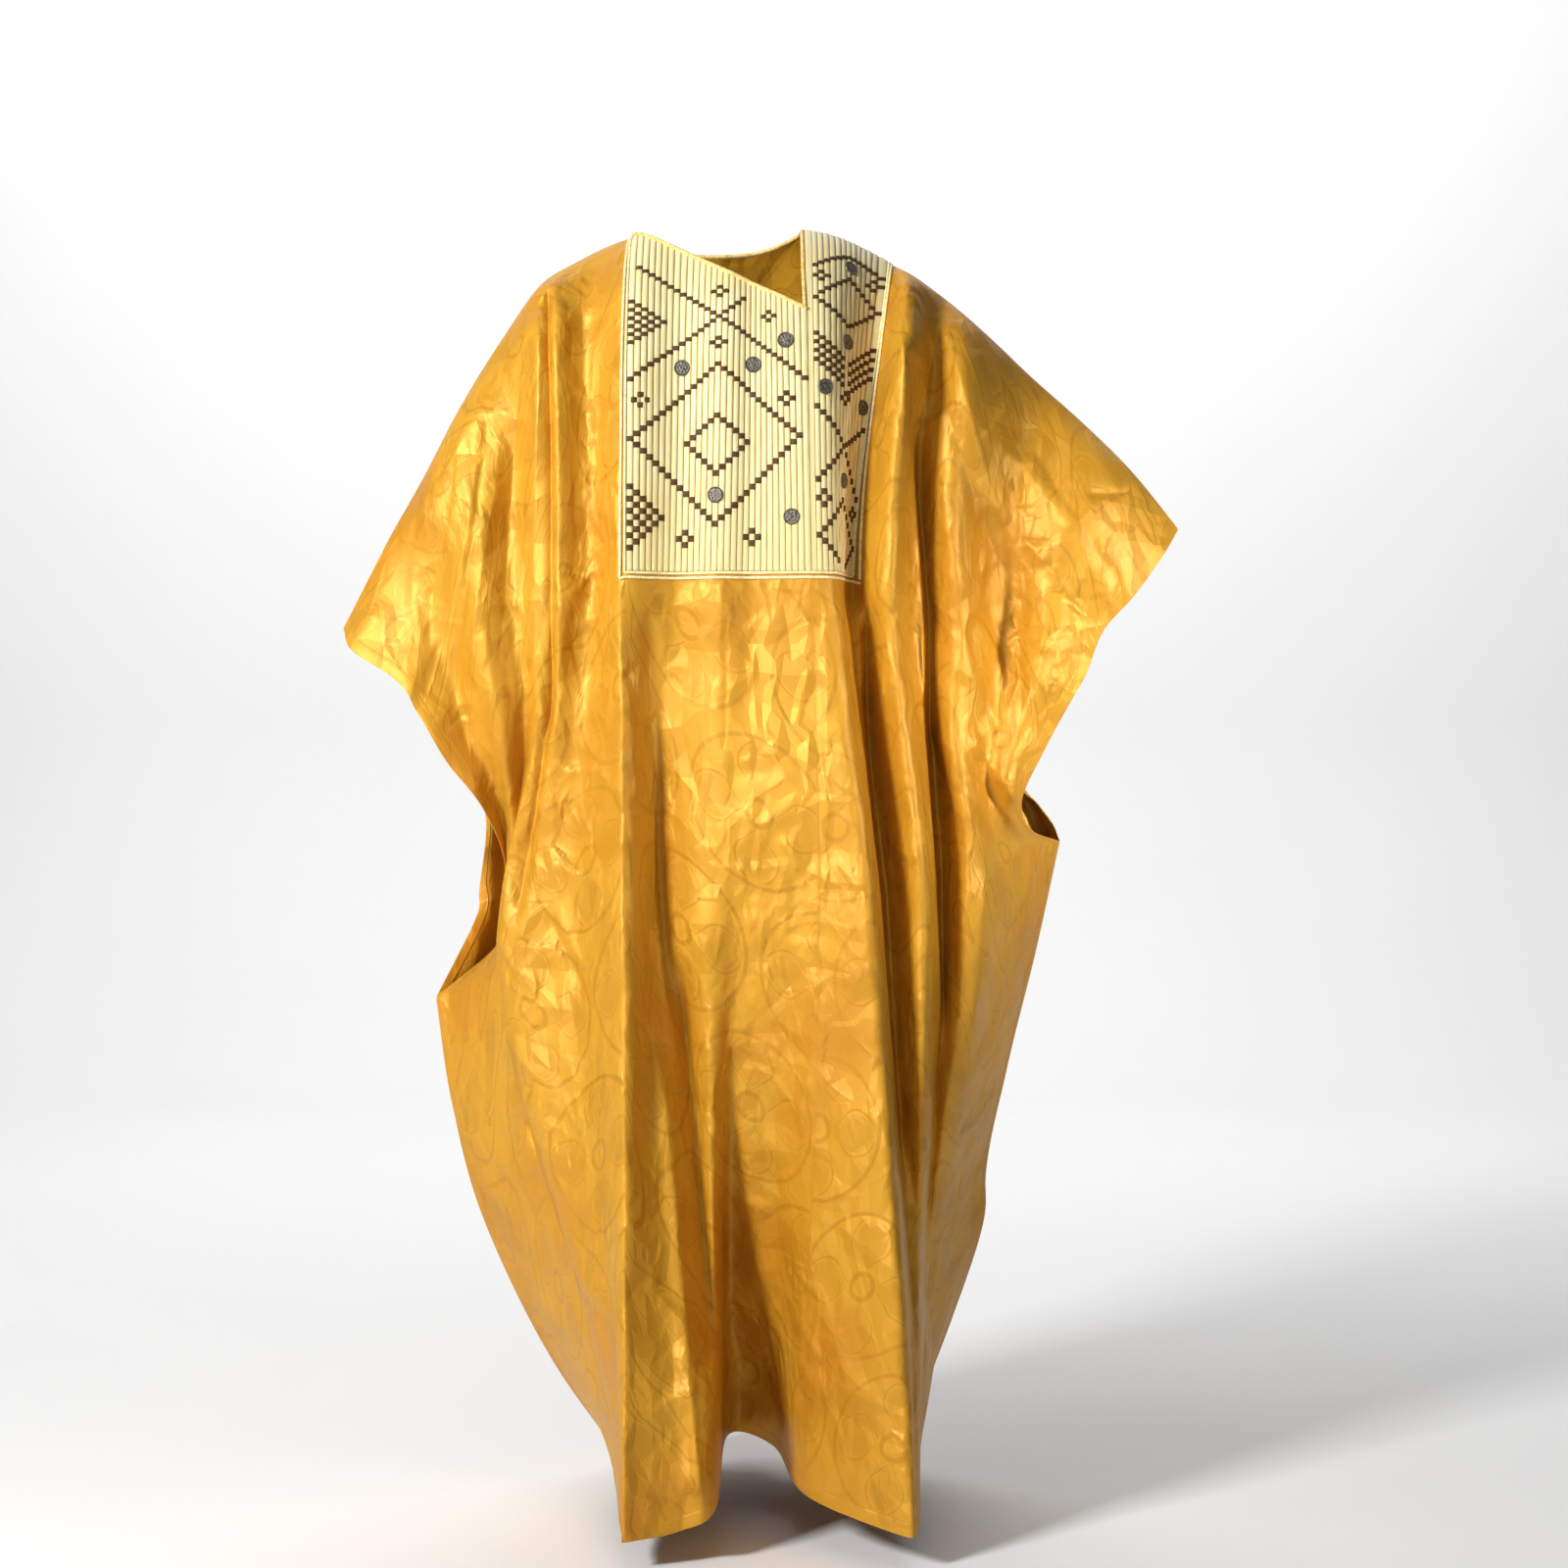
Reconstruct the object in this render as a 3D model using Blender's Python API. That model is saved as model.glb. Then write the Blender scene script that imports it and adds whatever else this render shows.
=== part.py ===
"""Grand boubou robe as it is worn: a very wide front and back, joined along the shoulders and the lower sides.

Metres, +Z up. X runs across the robe, Y from front to back. The origin lies midway between the two shoulder
tops beside the neck, where the wearer carries the robe. The tables are in millimetres.

Each panel is a sheet of columns and rows. The columns follow the folds, from the shoulder line to the hem, and
the rows follow five levels: shoulder, neck, chest, the top of the side seams, and hem. The sheet is the inner
face of the cloth, and the outer face is that sheet moved out by the thickness of the wall.
"""

from dataclasses import dataclass

import bpy
import numpy as np

MM = 0.001
TINY = 1e-12
# Points that are the same to this many decimals of a metre become one.
MERGE_DECIMALS = 7
CREASE_DEGREES = 50

# Cloth and embroidery, in metres.
CLOTH = 0.0016
HALF_SEAM = 0.00015
SEATING = 0.0003
BIB_GROOVE = 0.0010
BIB_CREST = 0.0024
CORD_EDGE = 0.0008
CORD_CREST = 0.0028
CORD_VALLEY = 0.0014
CORD_PAIR_WIDTH = 0.0066
PIPING_RADIUS = 0.0024
PIPING_ROUNDNESS = 2

# Levels down the robe, as parts of the way from shoulder to hem, and the rows of cells between them.
SHOULDER, NECK, CHEST, SEAM, HEM = 0.0, 0.07, 0.27, 0.62, 1.0
LEVELS = (SHOULDER, NECK, CHEST, SEAM, HEM)
ROWS_BETWEEN = (3, 7, 9, 10)
NECK_ROW = ROWS_BETWEEN[0]
CHEST_ROW = NECK_ROW + ROWS_BETWEEN[1]

# Heights of the levels, in millimetres.
CHEST_Z = -376
CHEST_DROP_LEFT, CHEST_DROP_RIGHT = 198, 131
CHEST_DROP_POWER = 1.3
SEAM_TOP_LEFT_Z, SEAM_TOP_RIGHT_Z = -835, -662
NECK_HALF_WIDTH = 92
BACK_NECK_DROP = 26

# Columns of cells between two folds, and ribs of the bib in one column, left and right of the neck point.
CELLS_A_FOLD = 3
BIB_CELLS_LEFT, BIB_CELLS_RIGHT = 15, 7
RIBS_A_CELL = 2
CHEST_SAMPLES = 200

# The shoulder line seen from the front: place across and height.
SHOULDER_LINE = np.array(
    [
        (-410, -430),
        (-364, -339),
        (-320, -261),
        (-280, -185),
        (-232, -108),
        (-194, -57),
        (-156, -32),
        (-122, -15),
        (-93, -5),
        (93, 2),
        (128, -6),
        (183, -32),
        (225, -57),
        (287, -108),
        (342, -159),
        (399, -210),
        (450, -261),
        (499, -322),
    ],
    float,
)


@dataclass(frozen=True)
class Fold:
    """One ridge or hollow: its place across, and its depth, at the levels that it passes, in millimetres."""

    name: str
    shoulder_x: float
    chest_x: float
    chest_y: float
    seam_x: float
    seam_y: float
    hem_x: float
    hem_y: float
    hem_z: float


@dataclass(frozen=True)
class EdgePoint:
    """A point of a panel's side edge: how far down the panel it comes, and where it is in millimetres."""

    level: float
    x: float
    y: float
    z: float


@dataclass(frozen=True)
class OverShoulder:
    """At one fold: how far the neck level lies below the shoulder line, and over what height the cloth rounds."""

    fold: str
    neck_drop: float
    rounding: float


FRONT_FOLDS = (
    Fold("left_edge", -410, -293, -60, -315, 50, -114, 120, -1359),
    Fold("left_cuff_hollow", -358, -271, -44, -290, 25, -113, 50, -1354),
    Fold("left_cuff_ridge", -300, -241, -80, -264, 0, -111, -20, -1356),
    Fold("left_sleeve_hollow", -241, -210, -66, -240, -25, -105, -90, -1363),
    Fold("left_shoulder_ridge", -190, -176, -108, -221, -50, -99, -150, -1372),
    Fold("left_chest_hollow", -144, -136, -88, -155, -82, -93, -190, -1374),
    Fold("left_lobe_ridge", -93, -95, -128, -97, -145, -90, -203, -1373),
    Fold("left_lobe_hollow", -37, -44, -116, -67, -112, -40, -184, -1368),
    Fold("left_lobe_corner", 11, 3, -130, -15, -128, -3, -165, -1351),
    Fold("arch_left", 37, 34, -124, 20, -122, 7, 10, -1312),
    Fold("arch_right", 64, 70, -130, 61, -132, 59, 0, -1321),
    Fold("neck_point", 92, 98, -132, 108, -146, 94, -100, -1351),
    Fold("right_lobe_ridge", 123, 123, -122, 158, -158, 188, -200, -1367),
    Fold("bib_right_hollow", 182, 143, -70, 179, -98, 204, -190, -1369),
    Fold("right_shoulder_ridge", 205, 180, -122, 214, -132, 209, -150, -1368),
    Fold("right_chest_hollow", 235, 212, -72, 239, -62, 212, -95, -1366),
    Fold("right_sleeve_ridge", 278, 250, -100, 266, -92, 213, -25, -1357),
    Fold("right_sleeve_hollow", 350, 304, -48, 312, -25, 215, 60, -1349),
    Fold("right_cuff_ridge", 425, 343, -78, 345, 15, 215, 130, -1341),
    Fold("right_edge", 499, 378, -60, 375, 60, 217, 200, -1338),
)
BACK_FOLDS = (
    Fold("left_edge", -410, -300, 60, -315, 50, -114, 120, -1359),
    Fold("left_cuff_hollow", -358, -279, 42, -281, 75, -112, 190, -1358),
    Fold("left_cuff_ridge", -284, -244, 88, -244, 128, -102, 270, -1347),
    Fold("left_sleeve_hollow", -219, -198, 68, -195, 95, -81, 205, -1350),
    Fold("left_shoulder_ridge", -160, -161, 118, -152, 150, -65, 310, -1350),
    Fold("left_back_hollow", -93, -105, 106, -95, 118, -39, 225, -1353),
    Fold("left_back_ridge", -48, -51, 130, -41, 165, -15, 325, -1351),
    Fold("centre_back_hollow", 0, 5, 114, 16, 122, 15, 232, -1351),
    Fold("right_back_ridge", 48, 58, 130, 72, 170, 44, 328, -1352),
    Fold("right_back_hollow", 92, 112, 108, 127, 122, 75, 230, -1350),
    Fold("right_shoulder_ridge", 160, 163, 122, 187, 155, 107, 318, -1352),
    Fold("right_sleeve_hollow", 219, 207, 84, 235, 102, 136, 225, -1349),
    Fold("right_sleeve_ridge", 284, 263, 102, 292, 132, 169, 300, -1350),
    Fold("right_cuff_hollow", 358, 311, 54, 333, 84, 195, 215, -1341),
    Fold("right_cuff_ridge", 423, 352, 76, 357, 82, 210, 240, -1347),
    Fold("right_edge", 499, 384, 60, 375, 60, 217, 200, -1338),
)

FRONT_SHOULDER = (
    OverShoulder("left_edge", 53, 95),
    OverShoulder("left_cuff_ridge", 90, 102),
    OverShoulder("left_shoulder_ridge", 80, 110),
    OverShoulder("left_lobe_ridge", 0, 200),
    OverShoulder("neck_point", 105, 200),
    OverShoulder("bib_right_hollow", 96, 200),
    OverShoulder("right_chest_hollow", 87, 110),
    OverShoulder("right_edge", 70, 75),
)
BACK_SHOULDER = (
    OverShoulder("left_edge", 50, 95),
    OverShoulder("left_cuff_ridge", 95, 105),
    OverShoulder("left_sleeve_hollow", 95, 110),
    OverShoulder("left_back_hollow", 95, 180),
    OverShoulder("right_back_hollow", 95, 180),
    OverShoulder("right_sleeve_ridge", 95, 110),
    OverShoulder("right_cuff_hollow", 95, 98),
    OverShoulder("right_edge", 63, 75),
)

# The side seams, from the seam's top to the hem, which front and back share.
LEFT_SEAM = (
    EdgePoint(SEAM, -315, 50, -835),
    EdgePoint(0.72, -298, 55, -952),
    EdgePoint(0.82, -264, 70, -1084),
    EdgePoint(0.92, -189, 100, -1248),
    EdgePoint(HEM, -114, 120, -1359),
)
RIGHT_SEAM = (
    EdgePoint(SEAM, 375, 60, -662),
    EdgePoint(0.72, 348, 65, -787),
    EdgePoint(0.82, 317, 80, -919),
    EdgePoint(0.90, 296, 110, -1042),
    EdgePoint(0.93, 295, 125, -1093),
    EdgePoint(0.97, 261, 165, -1212),
    EdgePoint(HEM, 217, 200, -1338),
)
# The open edges of the sleeves, from the cuff's corner to just over the top of the side seam.
LEFT_FRONT_EDGE = (
    EdgePoint(SHOULDER, -410, 0, -430),
    EdgePoint(0.035, -397, -30, -455),
    EdgePoint(NECK, -356, -50, -481),
    EdgePoint(0.16, -324, -58, -522),
    EdgePoint(CHEST, -293, -60, -574),
    EdgePoint(0.39, -253, -40, -630),
    EdgePoint(0.45, -240, 10, -671),
    EdgePoint(0.53, -238, 65, -735),
    EdgePoint(0.58, -246, 72, -778),
)
LEFT_BACK_EDGE = (
    EdgePoint(SHOULDER, -410, 0, -430),
    EdgePoint(0.035, -401, 30, -450),
    EdgePoint(NECK, -362, 50, -479),
    EdgePoint(CHEST, -300, 60, -573),
    EdgePoint(0.39, -263, 65, -634),
    EdgePoint(0.50, -272, 85, -718),
    EdgePoint(0.56, -276, 80, -751),
)
RIGHT_FRONT_EDGE = (
    EdgePoint(SHOULDER, 499, 0, -322),
    EdgePoint(0.035, 477, -30, -355),
    EdgePoint(NECK, 449, -50, -392),
    EdgePoint(0.13, 413, -55, -433),
    EdgePoint(0.20, 393, -58, -481),
    EdgePoint(CHEST, 378, -60, -507),
    EdgePoint(0.37, 349, -60, -560),
    EdgePoint(0.46, 324, -60, -615),
    EdgePoint(0.55, 339, -15, -649),
)
RIGHT_BACK_EDGE = (
    EdgePoint(SHOULDER, 499, 0, -322),
    EdgePoint(0.035, 480, 30, -351),
    EdgePoint(NECK, 452, 50, -385),
    EdgePoint(CHEST, 381, 60, -503),
    EdgePoint(0.44, 334, 60, -606),
    EdgePoint(0.50, 351, 63, -622),
    EdgePoint(0.56, 368, 64, -644),
)

# The longest that a wall's direction grows on a sharp fold.
MOST_STRETCH = 2.5
# How many folds in from a side edge its own bends reach, at the sleeves and beside the side seams.
SLEEVE_REACH, SEAM_REACH = 4.6, 3.0


def smooth(at, knots, values, level_end=False):
    """Values at `at` on the smooth curve through every knot, which may run out level at its end."""
    knots = np.asarray(knots, float)
    values = np.asarray(values, float)
    slopes = np.gradient(values, knots, axis=0)
    if level_end:
        slopes[-1] = 0
    low = np.clip(np.searchsorted(knots, at, side="right") - 1, 0, len(knots) - 2)
    span = knots[low + 1] - knots[low]
    t = (at - knots[low]) / span
    if values.ndim > 1:
        t, span = t[:, None], span[:, None]
    rise = t * t * (3 - 2 * t)
    return (
        values[low] * (1 - rise)
        + values[low + 1] * rise
        + slopes[low] * span * t * (1 - t) ** 2
        - slopes[low + 1] * span * t * t * (1 - t)
    )


def unit(vectors):
    """The same vectors at length 1, and null vectors as they are."""
    return vectors / np.maximum(np.linalg.norm(vectors, axis=-1, keepdims=True), TINY)


def row_levels():
    """The level of each row of points."""
    spans = zip(LEVELS, LEVELS[1:], ROWS_BETWEEN)
    parts = [np.linspace(start, end, count, endpoint=False) for start, end, count in spans]
    return np.append(np.concatenate(parts), HEM)


def shoulder_height(x):
    """Height of the shoulder line, which runs straight on across the neck."""
    return smooth(x, SHOULDER_LINE[:, 0], SHOULDER_LINE[:, 1])


def fold_curve(folds, field, columns):
    """One of the folds' measures, carried smoothly from fold to fold."""
    return smooth(columns, np.arange(len(folds)), [getattr(fold, field) for fold in folds])


@dataclass
class Sheet:
    """A panel's inner face: points by column and row, outward directions, and the cells that hold cloth."""

    points: np.ndarray
    outward: np.ndarray
    kept: np.ndarray
    facing: int

    def at(self, columns, rows):
        """Inner points and outward directions at columns and rows that may lie between the sheet's own."""
        low_c = np.clip(np.floor(columns).astype(int), 0, self.points.shape[0] - 2)
        low_r = np.clip(np.floor(rows).astype(int), 0, self.points.shape[1] - 2)
        part_c = (columns - low_c)[:, None, None]
        part_r = (rows - low_r)[None, :, None]
        found = []
        for field in (self.points, self.outward):
            near = field[low_c][:, low_r] * (1 - part_r) + field[low_c][:, low_r + 1] * part_r
            far = field[low_c + 1][:, low_r] * (1 - part_r) + field[low_c + 1][:, low_r + 1] * part_r
            found.append(near * (1 - part_c) + far * part_c)
        return found

    def over(self, columns, rows, lift):
        """Points at a height `lift` over the inner face."""
        base, outward = self.at(np.asarray(columns, float), np.asarray(rows, float))
        return base + outward * np.asarray(lift)[..., None]


def outward_directions(points, kept, facing):
    """Directions at the points, each the mean of the cells around it that hold cloth.

    They are longer than 1 on a sharp fold, so that a wall keeps its thickness on both sides of it.
    """
    across = points[1:, :-1] + points[1:, 1:] - points[:-1, :-1] - points[:-1, 1:]
    down = points[:-1, 1:] + points[1:, 1:] - points[:-1, :-1] - points[1:, :-1]
    faces = unit(np.cross(across, down)) * facing * kept[..., None]
    total = np.zeros_like(points)
    count = np.zeros(points.shape[:2] + (1,))
    for corner in (np.s_[:-1, :-1], np.s_[1:, :-1], np.s_[:-1, 1:], np.s_[1:, 1:]):
        total[corner] += faces
        count[corner] += kept[..., None]
    length = np.linalg.norm(total, axis=-1, keepdims=True)
    return unit(total) * np.clip(count / np.maximum(length, TINY), 1, MOST_STRETCH)


def chest_height(columns, level_span, last):
    """Height of the chest level, which is level between two columns and lower towards the sleeves."""
    left = np.clip((level_span[0] - columns) / level_span[0], 0, 1)
    right = np.clip((columns - level_span[1]) / (last - level_span[1]), 0, 1)
    drop = CHEST_DROP_LEFT * left**CHEST_DROP_POWER + CHEST_DROP_RIGHT * right**CHEST_DROP_POWER
    return CHEST_Z - drop


def panel_points(folds, columns, heights, rounding, edges, seam_side):
    """Points of a panel in millimetres, by column and row.

    The cloth rounds over the shoulder on a quarter ellipse, whose height is `rounding` and whose depth is the
    fold's own depth at the chest. Below the chest it runs on smoothly to the seam's top and to the hem.
    """
    levels = row_levels()
    last = len(folds) - 1
    crossing = [fold_curve(folds, name, columns) for name in ("shoulder_x", "chest_x", "seam_x", "hem_x")]
    depth = [fold_curve(folds, name, columns) for name in ("chest_y", "seam_y", "hem_y")]
    top = shoulder_height(crossing[0])
    x = smooth(levels, (SHOULDER, CHEST, SEAM, HEM), np.stack(crossing), level_end=True).T
    z = np.stack([np.interp(levels, LEVELS, column) for column in heights.T])
    fallen = np.clip((top[:, None] - z) / rounding[:, None], 0, 1)
    upper = depth[0][:, None] * np.sqrt(1 - (1 - fallen) ** 2)
    lower = smooth(np.maximum(levels, CHEST), (CHEST, SEAM, HEM), np.stack(depth)).T
    y = np.where(levels <= CHEST, upper, lower)
    points = np.stack([x, y, z], axis=-1)
    for side, edge in enumerate(edges):
        bend = edge_curve(*edge) - points[-side]
        distance = columns if side == 0 else last - columns
        reach = np.interp(levels, (CHEST, SEAM), (SLEEVE_REACH, SEAM_REACH))
        weight = np.clip(1 - distance[:, None] / reach, 0, 1)
        points = points + weight[..., None] * bend
    seam_rows = levels >= SEAM
    points[0, seam_rows, 1] += seam_side * HALF_SEAM / MM
    points[-1, seam_rows, 1] += seam_side * HALF_SEAM / MM
    return points


def equal_cells(folds, start, end, count):
    """Column positions that share the chest's width between two folds equally."""
    fine = np.linspace(start, end, CHEST_SAMPLES)
    place = np.stack([fold_curve(folds, "chest_x", fine), fold_curve(folds, "chest_y", fine)], axis=-1)
    run = np.append(0, np.cumsum(np.linalg.norm(np.diff(place, axis=0), axis=1)))
    return np.interp(np.linspace(0, run[-1], count + 1), run, fine)


def edge_curve(open_edge, seam):
    """A panel's side edge at every row: its open stretch, then the seam, which is the same for both panels."""
    levels = row_levels()
    curves = []
    for stretch in (open_edge + seam[:1], seam):
        way = np.array([(point.x, point.y, point.z) for point in stretch], float)
        curves.append(smooth(levels, [point.level for point in stretch], way))
    return np.where((levels < SEAM)[:, None], curves[0], curves[1])


def fold_number(folds, name):
    """Where a fold stands in its table."""
    return [fold.name for fold in folds].index(name)


def shoulder_curve(folds, shoulder, field, columns):
    """One of the shoulder table's measures at every column."""
    places = [fold_number(folds, point.fold) for point in shoulder]
    return np.interp(columns, places, [getattr(point, field) for point in shoulder])


def front_columns():
    """Column positions of the front, and the numbers of the columns at the bib's sides and the neck point."""
    left = fold_number(FRONT_FOLDS, "left_lobe_ridge")
    point = fold_number(FRONT_FOLDS, "neck_point")
    right = fold_number(FRONT_FOLDS, "bib_right_hollow")
    last = len(FRONT_FOLDS) - 1
    outer_left = np.linspace(0, left, CELLS_A_FOLD * left + 1)
    bib_left = equal_cells(FRONT_FOLDS, left, point, BIB_CELLS_LEFT)
    bib_right = equal_cells(FRONT_FOLDS, point, right, BIB_CELLS_RIGHT)
    outer_right = np.linspace(right, last, CELLS_A_FOLD * (last - right) + 1)
    columns = np.concatenate([outer_left, bib_left[1:], bib_right[1:], outer_right[1:]])
    marks = np.cumsum([CELLS_A_FOLD * left, BIB_CELLS_LEFT, BIB_CELLS_RIGHT])
    return columns, marks


def square_to_seam(sheet, place, seam_side):
    """Sets one point of the shoulder edge square to the seam, half a seam's gap from the middle."""
    sheet.points[place][1] = seam_side * HALF_SEAM
    sheet.outward[place][1] = 0
    sheet.outward[place] = unit(sheet.outward[place])


def build_front_sheet():
    """The front's inner face, open at the neck, and its marked columns."""
    columns, marks = front_columns()
    left, point, right = marks
    last = len(FRONT_FOLDS) - 1
    across = fold_curve(FRONT_FOLDS, "shoulder_x", columns)
    top = shoulder_height(across)
    neck = top - shoulder_curve(FRONT_FOLDS, FRONT_SHOULDER, "neck_drop", columns)
    slant = slice(left, point + 1)
    neck[slant] = np.interp(across[slant], across[[left, point]], neck[[left, point]])
    seam = np.interp(columns, (0, last), (SEAM_TOP_LEFT_Z, SEAM_TOP_RIGHT_Z))
    chest = chest_height(columns, (columns[left], columns[right]), last)
    heights = np.stack([top, neck, chest, seam, fold_curve(FRONT_FOLDS, "hem_z", columns)])
    rounding = shoulder_curve(FRONT_FOLDS, FRONT_SHOULDER, "rounding", columns)
    edges = ((LEFT_FRONT_EDGE, LEFT_SEAM), (RIGHT_FRONT_EDGE, RIGHT_SEAM))
    points = panel_points(FRONT_FOLDS, columns, heights, rounding, edges, -1) * MM
    points[left:point, :NECK_ROW] = points[left:point, NECK_ROW : NECK_ROW + 1]
    kept = np.ones((points.shape[0] - 1, points.shape[1] - 1), bool)
    kept[left:point, :NECK_ROW] = False
    outward = outward_directions(points, kept, -1)
    outward[left, : NECK_ROW + 1] = unit(outward[left, : NECK_ROW + 1].sum(axis=0))
    sheet = Sheet(points, outward, kept, -1)
    for column in (*range(left), *range(point, len(points))):
        square_to_seam(sheet, (column, 0), -1)
    for row in range(NECK_ROW + 1):
        square_to_seam(sheet, (left, row), -1)
    return sheet, marks


def build_back_sheet():
    """The back's inner face, with a shallow scoop at the neck, and the columns at the neck's two ends."""
    last = len(BACK_FOLDS) - 1
    columns = np.linspace(0, last, CELLS_A_FOLD * last + 1)
    across = fold_curve(BACK_FOLDS, "shoulder_x", columns)
    line = shoulder_height(across)
    scoop = BACK_NECK_DROP * np.clip(1 - (across / NECK_HALF_WIDTH) ** 2, 0, 1)
    neck = line - shoulder_curve(BACK_FOLDS, BACK_SHOULDER, "neck_drop", columns)
    seam = np.interp(columns, (0, last), (SEAM_TOP_LEFT_Z, SEAM_TOP_RIGHT_Z))
    span = [fold_number(BACK_FOLDS, name) for name in ("left_shoulder_ridge", "right_sleeve_hollow")]
    chest = chest_height(columns, span, last)
    heights = np.stack([line - scoop, neck, chest, seam, fold_curve(BACK_FOLDS, "hem_z", columns)])
    rounding = shoulder_curve(BACK_FOLDS, BACK_SHOULDER, "rounding", columns)
    edges = ((LEFT_BACK_EDGE, LEFT_SEAM), (RIGHT_BACK_EDGE, RIGHT_SEAM))
    points = panel_points(BACK_FOLDS, columns, heights, rounding, edges, 1) * MM
    kept = np.ones((points.shape[0] - 1, points.shape[1] - 1), bool)
    sheet = Sheet(points, outward_directions(points, kept, 1), kept, 1)
    left = CELLS_A_FOLD * fold_number(BACK_FOLDS, "left_back_hollow")
    right = CELLS_A_FOLD * fold_number(BACK_FOLDS, "right_back_hollow")
    for column in (*range(left + 1), *range(right, len(points))):
        square_to_seam(sheet, (column, 0), 1)
    return sheet, (left, right)


def lower_diagonal(corners, facing):
    """True for each cell whose first diagonal lies lower than its second, seen from outside."""
    first = corners[0] + corners[2]
    second = corners[1] + corners[3]
    out = np.cross(corners[1] - corners[3], corners[2] - corners[0]) * facing
    return ((first - second) * out).sum(axis=-1) < 0


def make_wall(name, inner, outer, kept, facing, material):
    """One closed wall between two grids of points, with a rim round every edge of the kept cells."""
    count_c, count_r = inner.shape[:2]
    number = np.arange(count_c * count_r).reshape(count_c, count_r)
    cell = [number[:-1, :-1], number[1:, :-1], number[1:, 1:], number[:-1, 1:]]
    cell = np.stack([corner[kept] for corner in cell], axis=-1)
    place = outer.reshape(-1, 3)
    low = lower_diagonal([place[cell[:, k]] for k in range(4)], facing)[:, None]
    first = np.where(low, cell[:, [0, 1, 2]], cell[:, [0, 1, 3]])
    second = np.where(low, cell[:, [0, 2, 3]], cell[:, [1, 2, 3]])
    faces = np.concatenate([first, second])
    # Points that fall together, as at the neck's corner, become one.
    _, merged = np.unique(np.round(inner.reshape(-1, 3), MERGE_DECIMALS), axis=0, return_inverse=True)
    leader = np.full(merged.max() + 1, -1)
    leader[merged.reshape(-1)[::-1]] = np.arange(len(merged.reshape(-1)))[::-1]
    faces = leader[merged.reshape(-1)][faces]
    whole = (faces[:, 0] != faces[:, 1]) & (faces[:, 1] != faces[:, 2]) & (faces[:, 2] != faces[:, 0])
    faces = faces[whole] if facing > 0 else faces[whole][:, ::-1]
    # An edge that only one face runs along is an edge of the cloth.
    runs = np.concatenate([faces[:, [0, 1]], faces[:, [1, 2]], faces[:, [2, 0]]])
    known = {tuple(run) for run in runs.tolist()}
    rim = np.array([run for run in runs.tolist() if (run[1], run[0]) not in known])
    shift = count_c * count_r
    start, end = rim[:, 0], rim[:, 1]
    rim_faces = np.concatenate(
        [np.stack([end, start, start + shift], axis=-1), np.stack([end, start + shift, end + shift], axis=-1)]
    )
    faces = np.concatenate([faces, faces[:, ::-1] + shift, rim_faces])
    used, faces = np.unique(faces, return_inverse=True)
    vertices = np.concatenate([place, inner.reshape(-1, 3)])[used]
    mesh = bpy.data.meshes.new(name)
    mesh.from_pydata(vertices.tolist(), [], faces.reshape(-1, 3).tolist())
    mesh.materials.append(material)
    mesh.shade_smooth()
    mesh.set_sharp_from_angle(angle=np.radians(CREASE_DEGREES))
    item = bpy.data.objects.new(name, mesh)
    bpy.context.scene.collection.objects.link(item)
    return item


def make_material(name, colour, roughness):
    """A plain cloth finish."""
    material = bpy.data.materials.new(name)
    material.use_nodes = True
    shader = material.node_tree.nodes["Principled BSDF"]
    shader.inputs["Base Color"].default_value = (*colour, 1)
    shader.inputs["Roughness"].default_value = roughness
    shader.inputs["Metallic"].default_value = 0
    return material


def make_panel(name, sheet, material):
    """The wall of the front or the back."""
    outer = sheet.points + CLOTH * sheet.outward
    return make_wall(name, sheet.points, outer, sheet.kept, sheet.facing, material)


def make_bib(sheet, marks, material):
    """The ribbed bib, which covers whole cells of the front from the neck to the chest level."""
    left, point, right = marks
    steps = 2 * RIBS_A_CELL
    columns = np.linspace(left, right, steps * (right - left) + 1)
    rows = np.arange(CHEST_ROW + 1)
    groove = np.arange(len(columns)) % 2 == 0
    divider = steps * (point - left)
    groove[divider : divider + 3] = False
    rise = np.where(groove, BIB_GROOVE, BIB_CREST)
    rise[[0, -1]] = BIB_GROOVE
    seat = CLOTH + SEATING
    inner = sheet.over(columns, rows, np.full((len(columns), len(rows)), seat))
    outer = sheet.over(columns, rows, np.repeat(seat + rise[:, None], len(rows), axis=1))
    kept = np.repeat(sheet.kept[left:right, :CHEST_ROW], steps, axis=0)
    return make_wall("bib", inner, outer, kept, sheet.facing, material)


def cord_pair_profile():
    """Distances from the bib, and heights, across a pair of cords laid side by side."""
    parts = np.array([0.0, 0.2, 0.5, 0.8, 1.0])
    heights = np.array([CORD_EDGE, CORD_CREST, CORD_VALLEY, CORD_CREST, CORD_EDGE])
    return SEATING + parts * CORD_PAIR_WIDTH, heights


def make_side_cords(name, sheet, column, step, material):
    """The pair of cords beside the bib, on the column that lies `step` further out."""
    distance, rise = cord_pair_profile()
    first_row = NECK_ROW if step < 0 else 0
    rows = np.arange(first_row, CHEST_ROW + 1)
    gap = sheet.points[column + step, rows] - sheet.points[column, rows]
    cell = np.median(np.linalg.norm(gap, axis=-1))
    columns = column + step * distance / cell
    seat = CLOTH + SEATING
    order = np.argsort(columns)
    columns, rise = columns[order], rise[order]
    inner = sheet.over(columns, rows, np.full((len(columns), len(rows)), seat))
    outer = sheet.over(columns, rows, np.repeat(seat + rise[:, None], len(rows), axis=1))
    kept = np.ones((len(columns) - 1, len(rows) - 1), bool)
    return make_wall(name, inner, outer, kept, sheet.facing, material)


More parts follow.
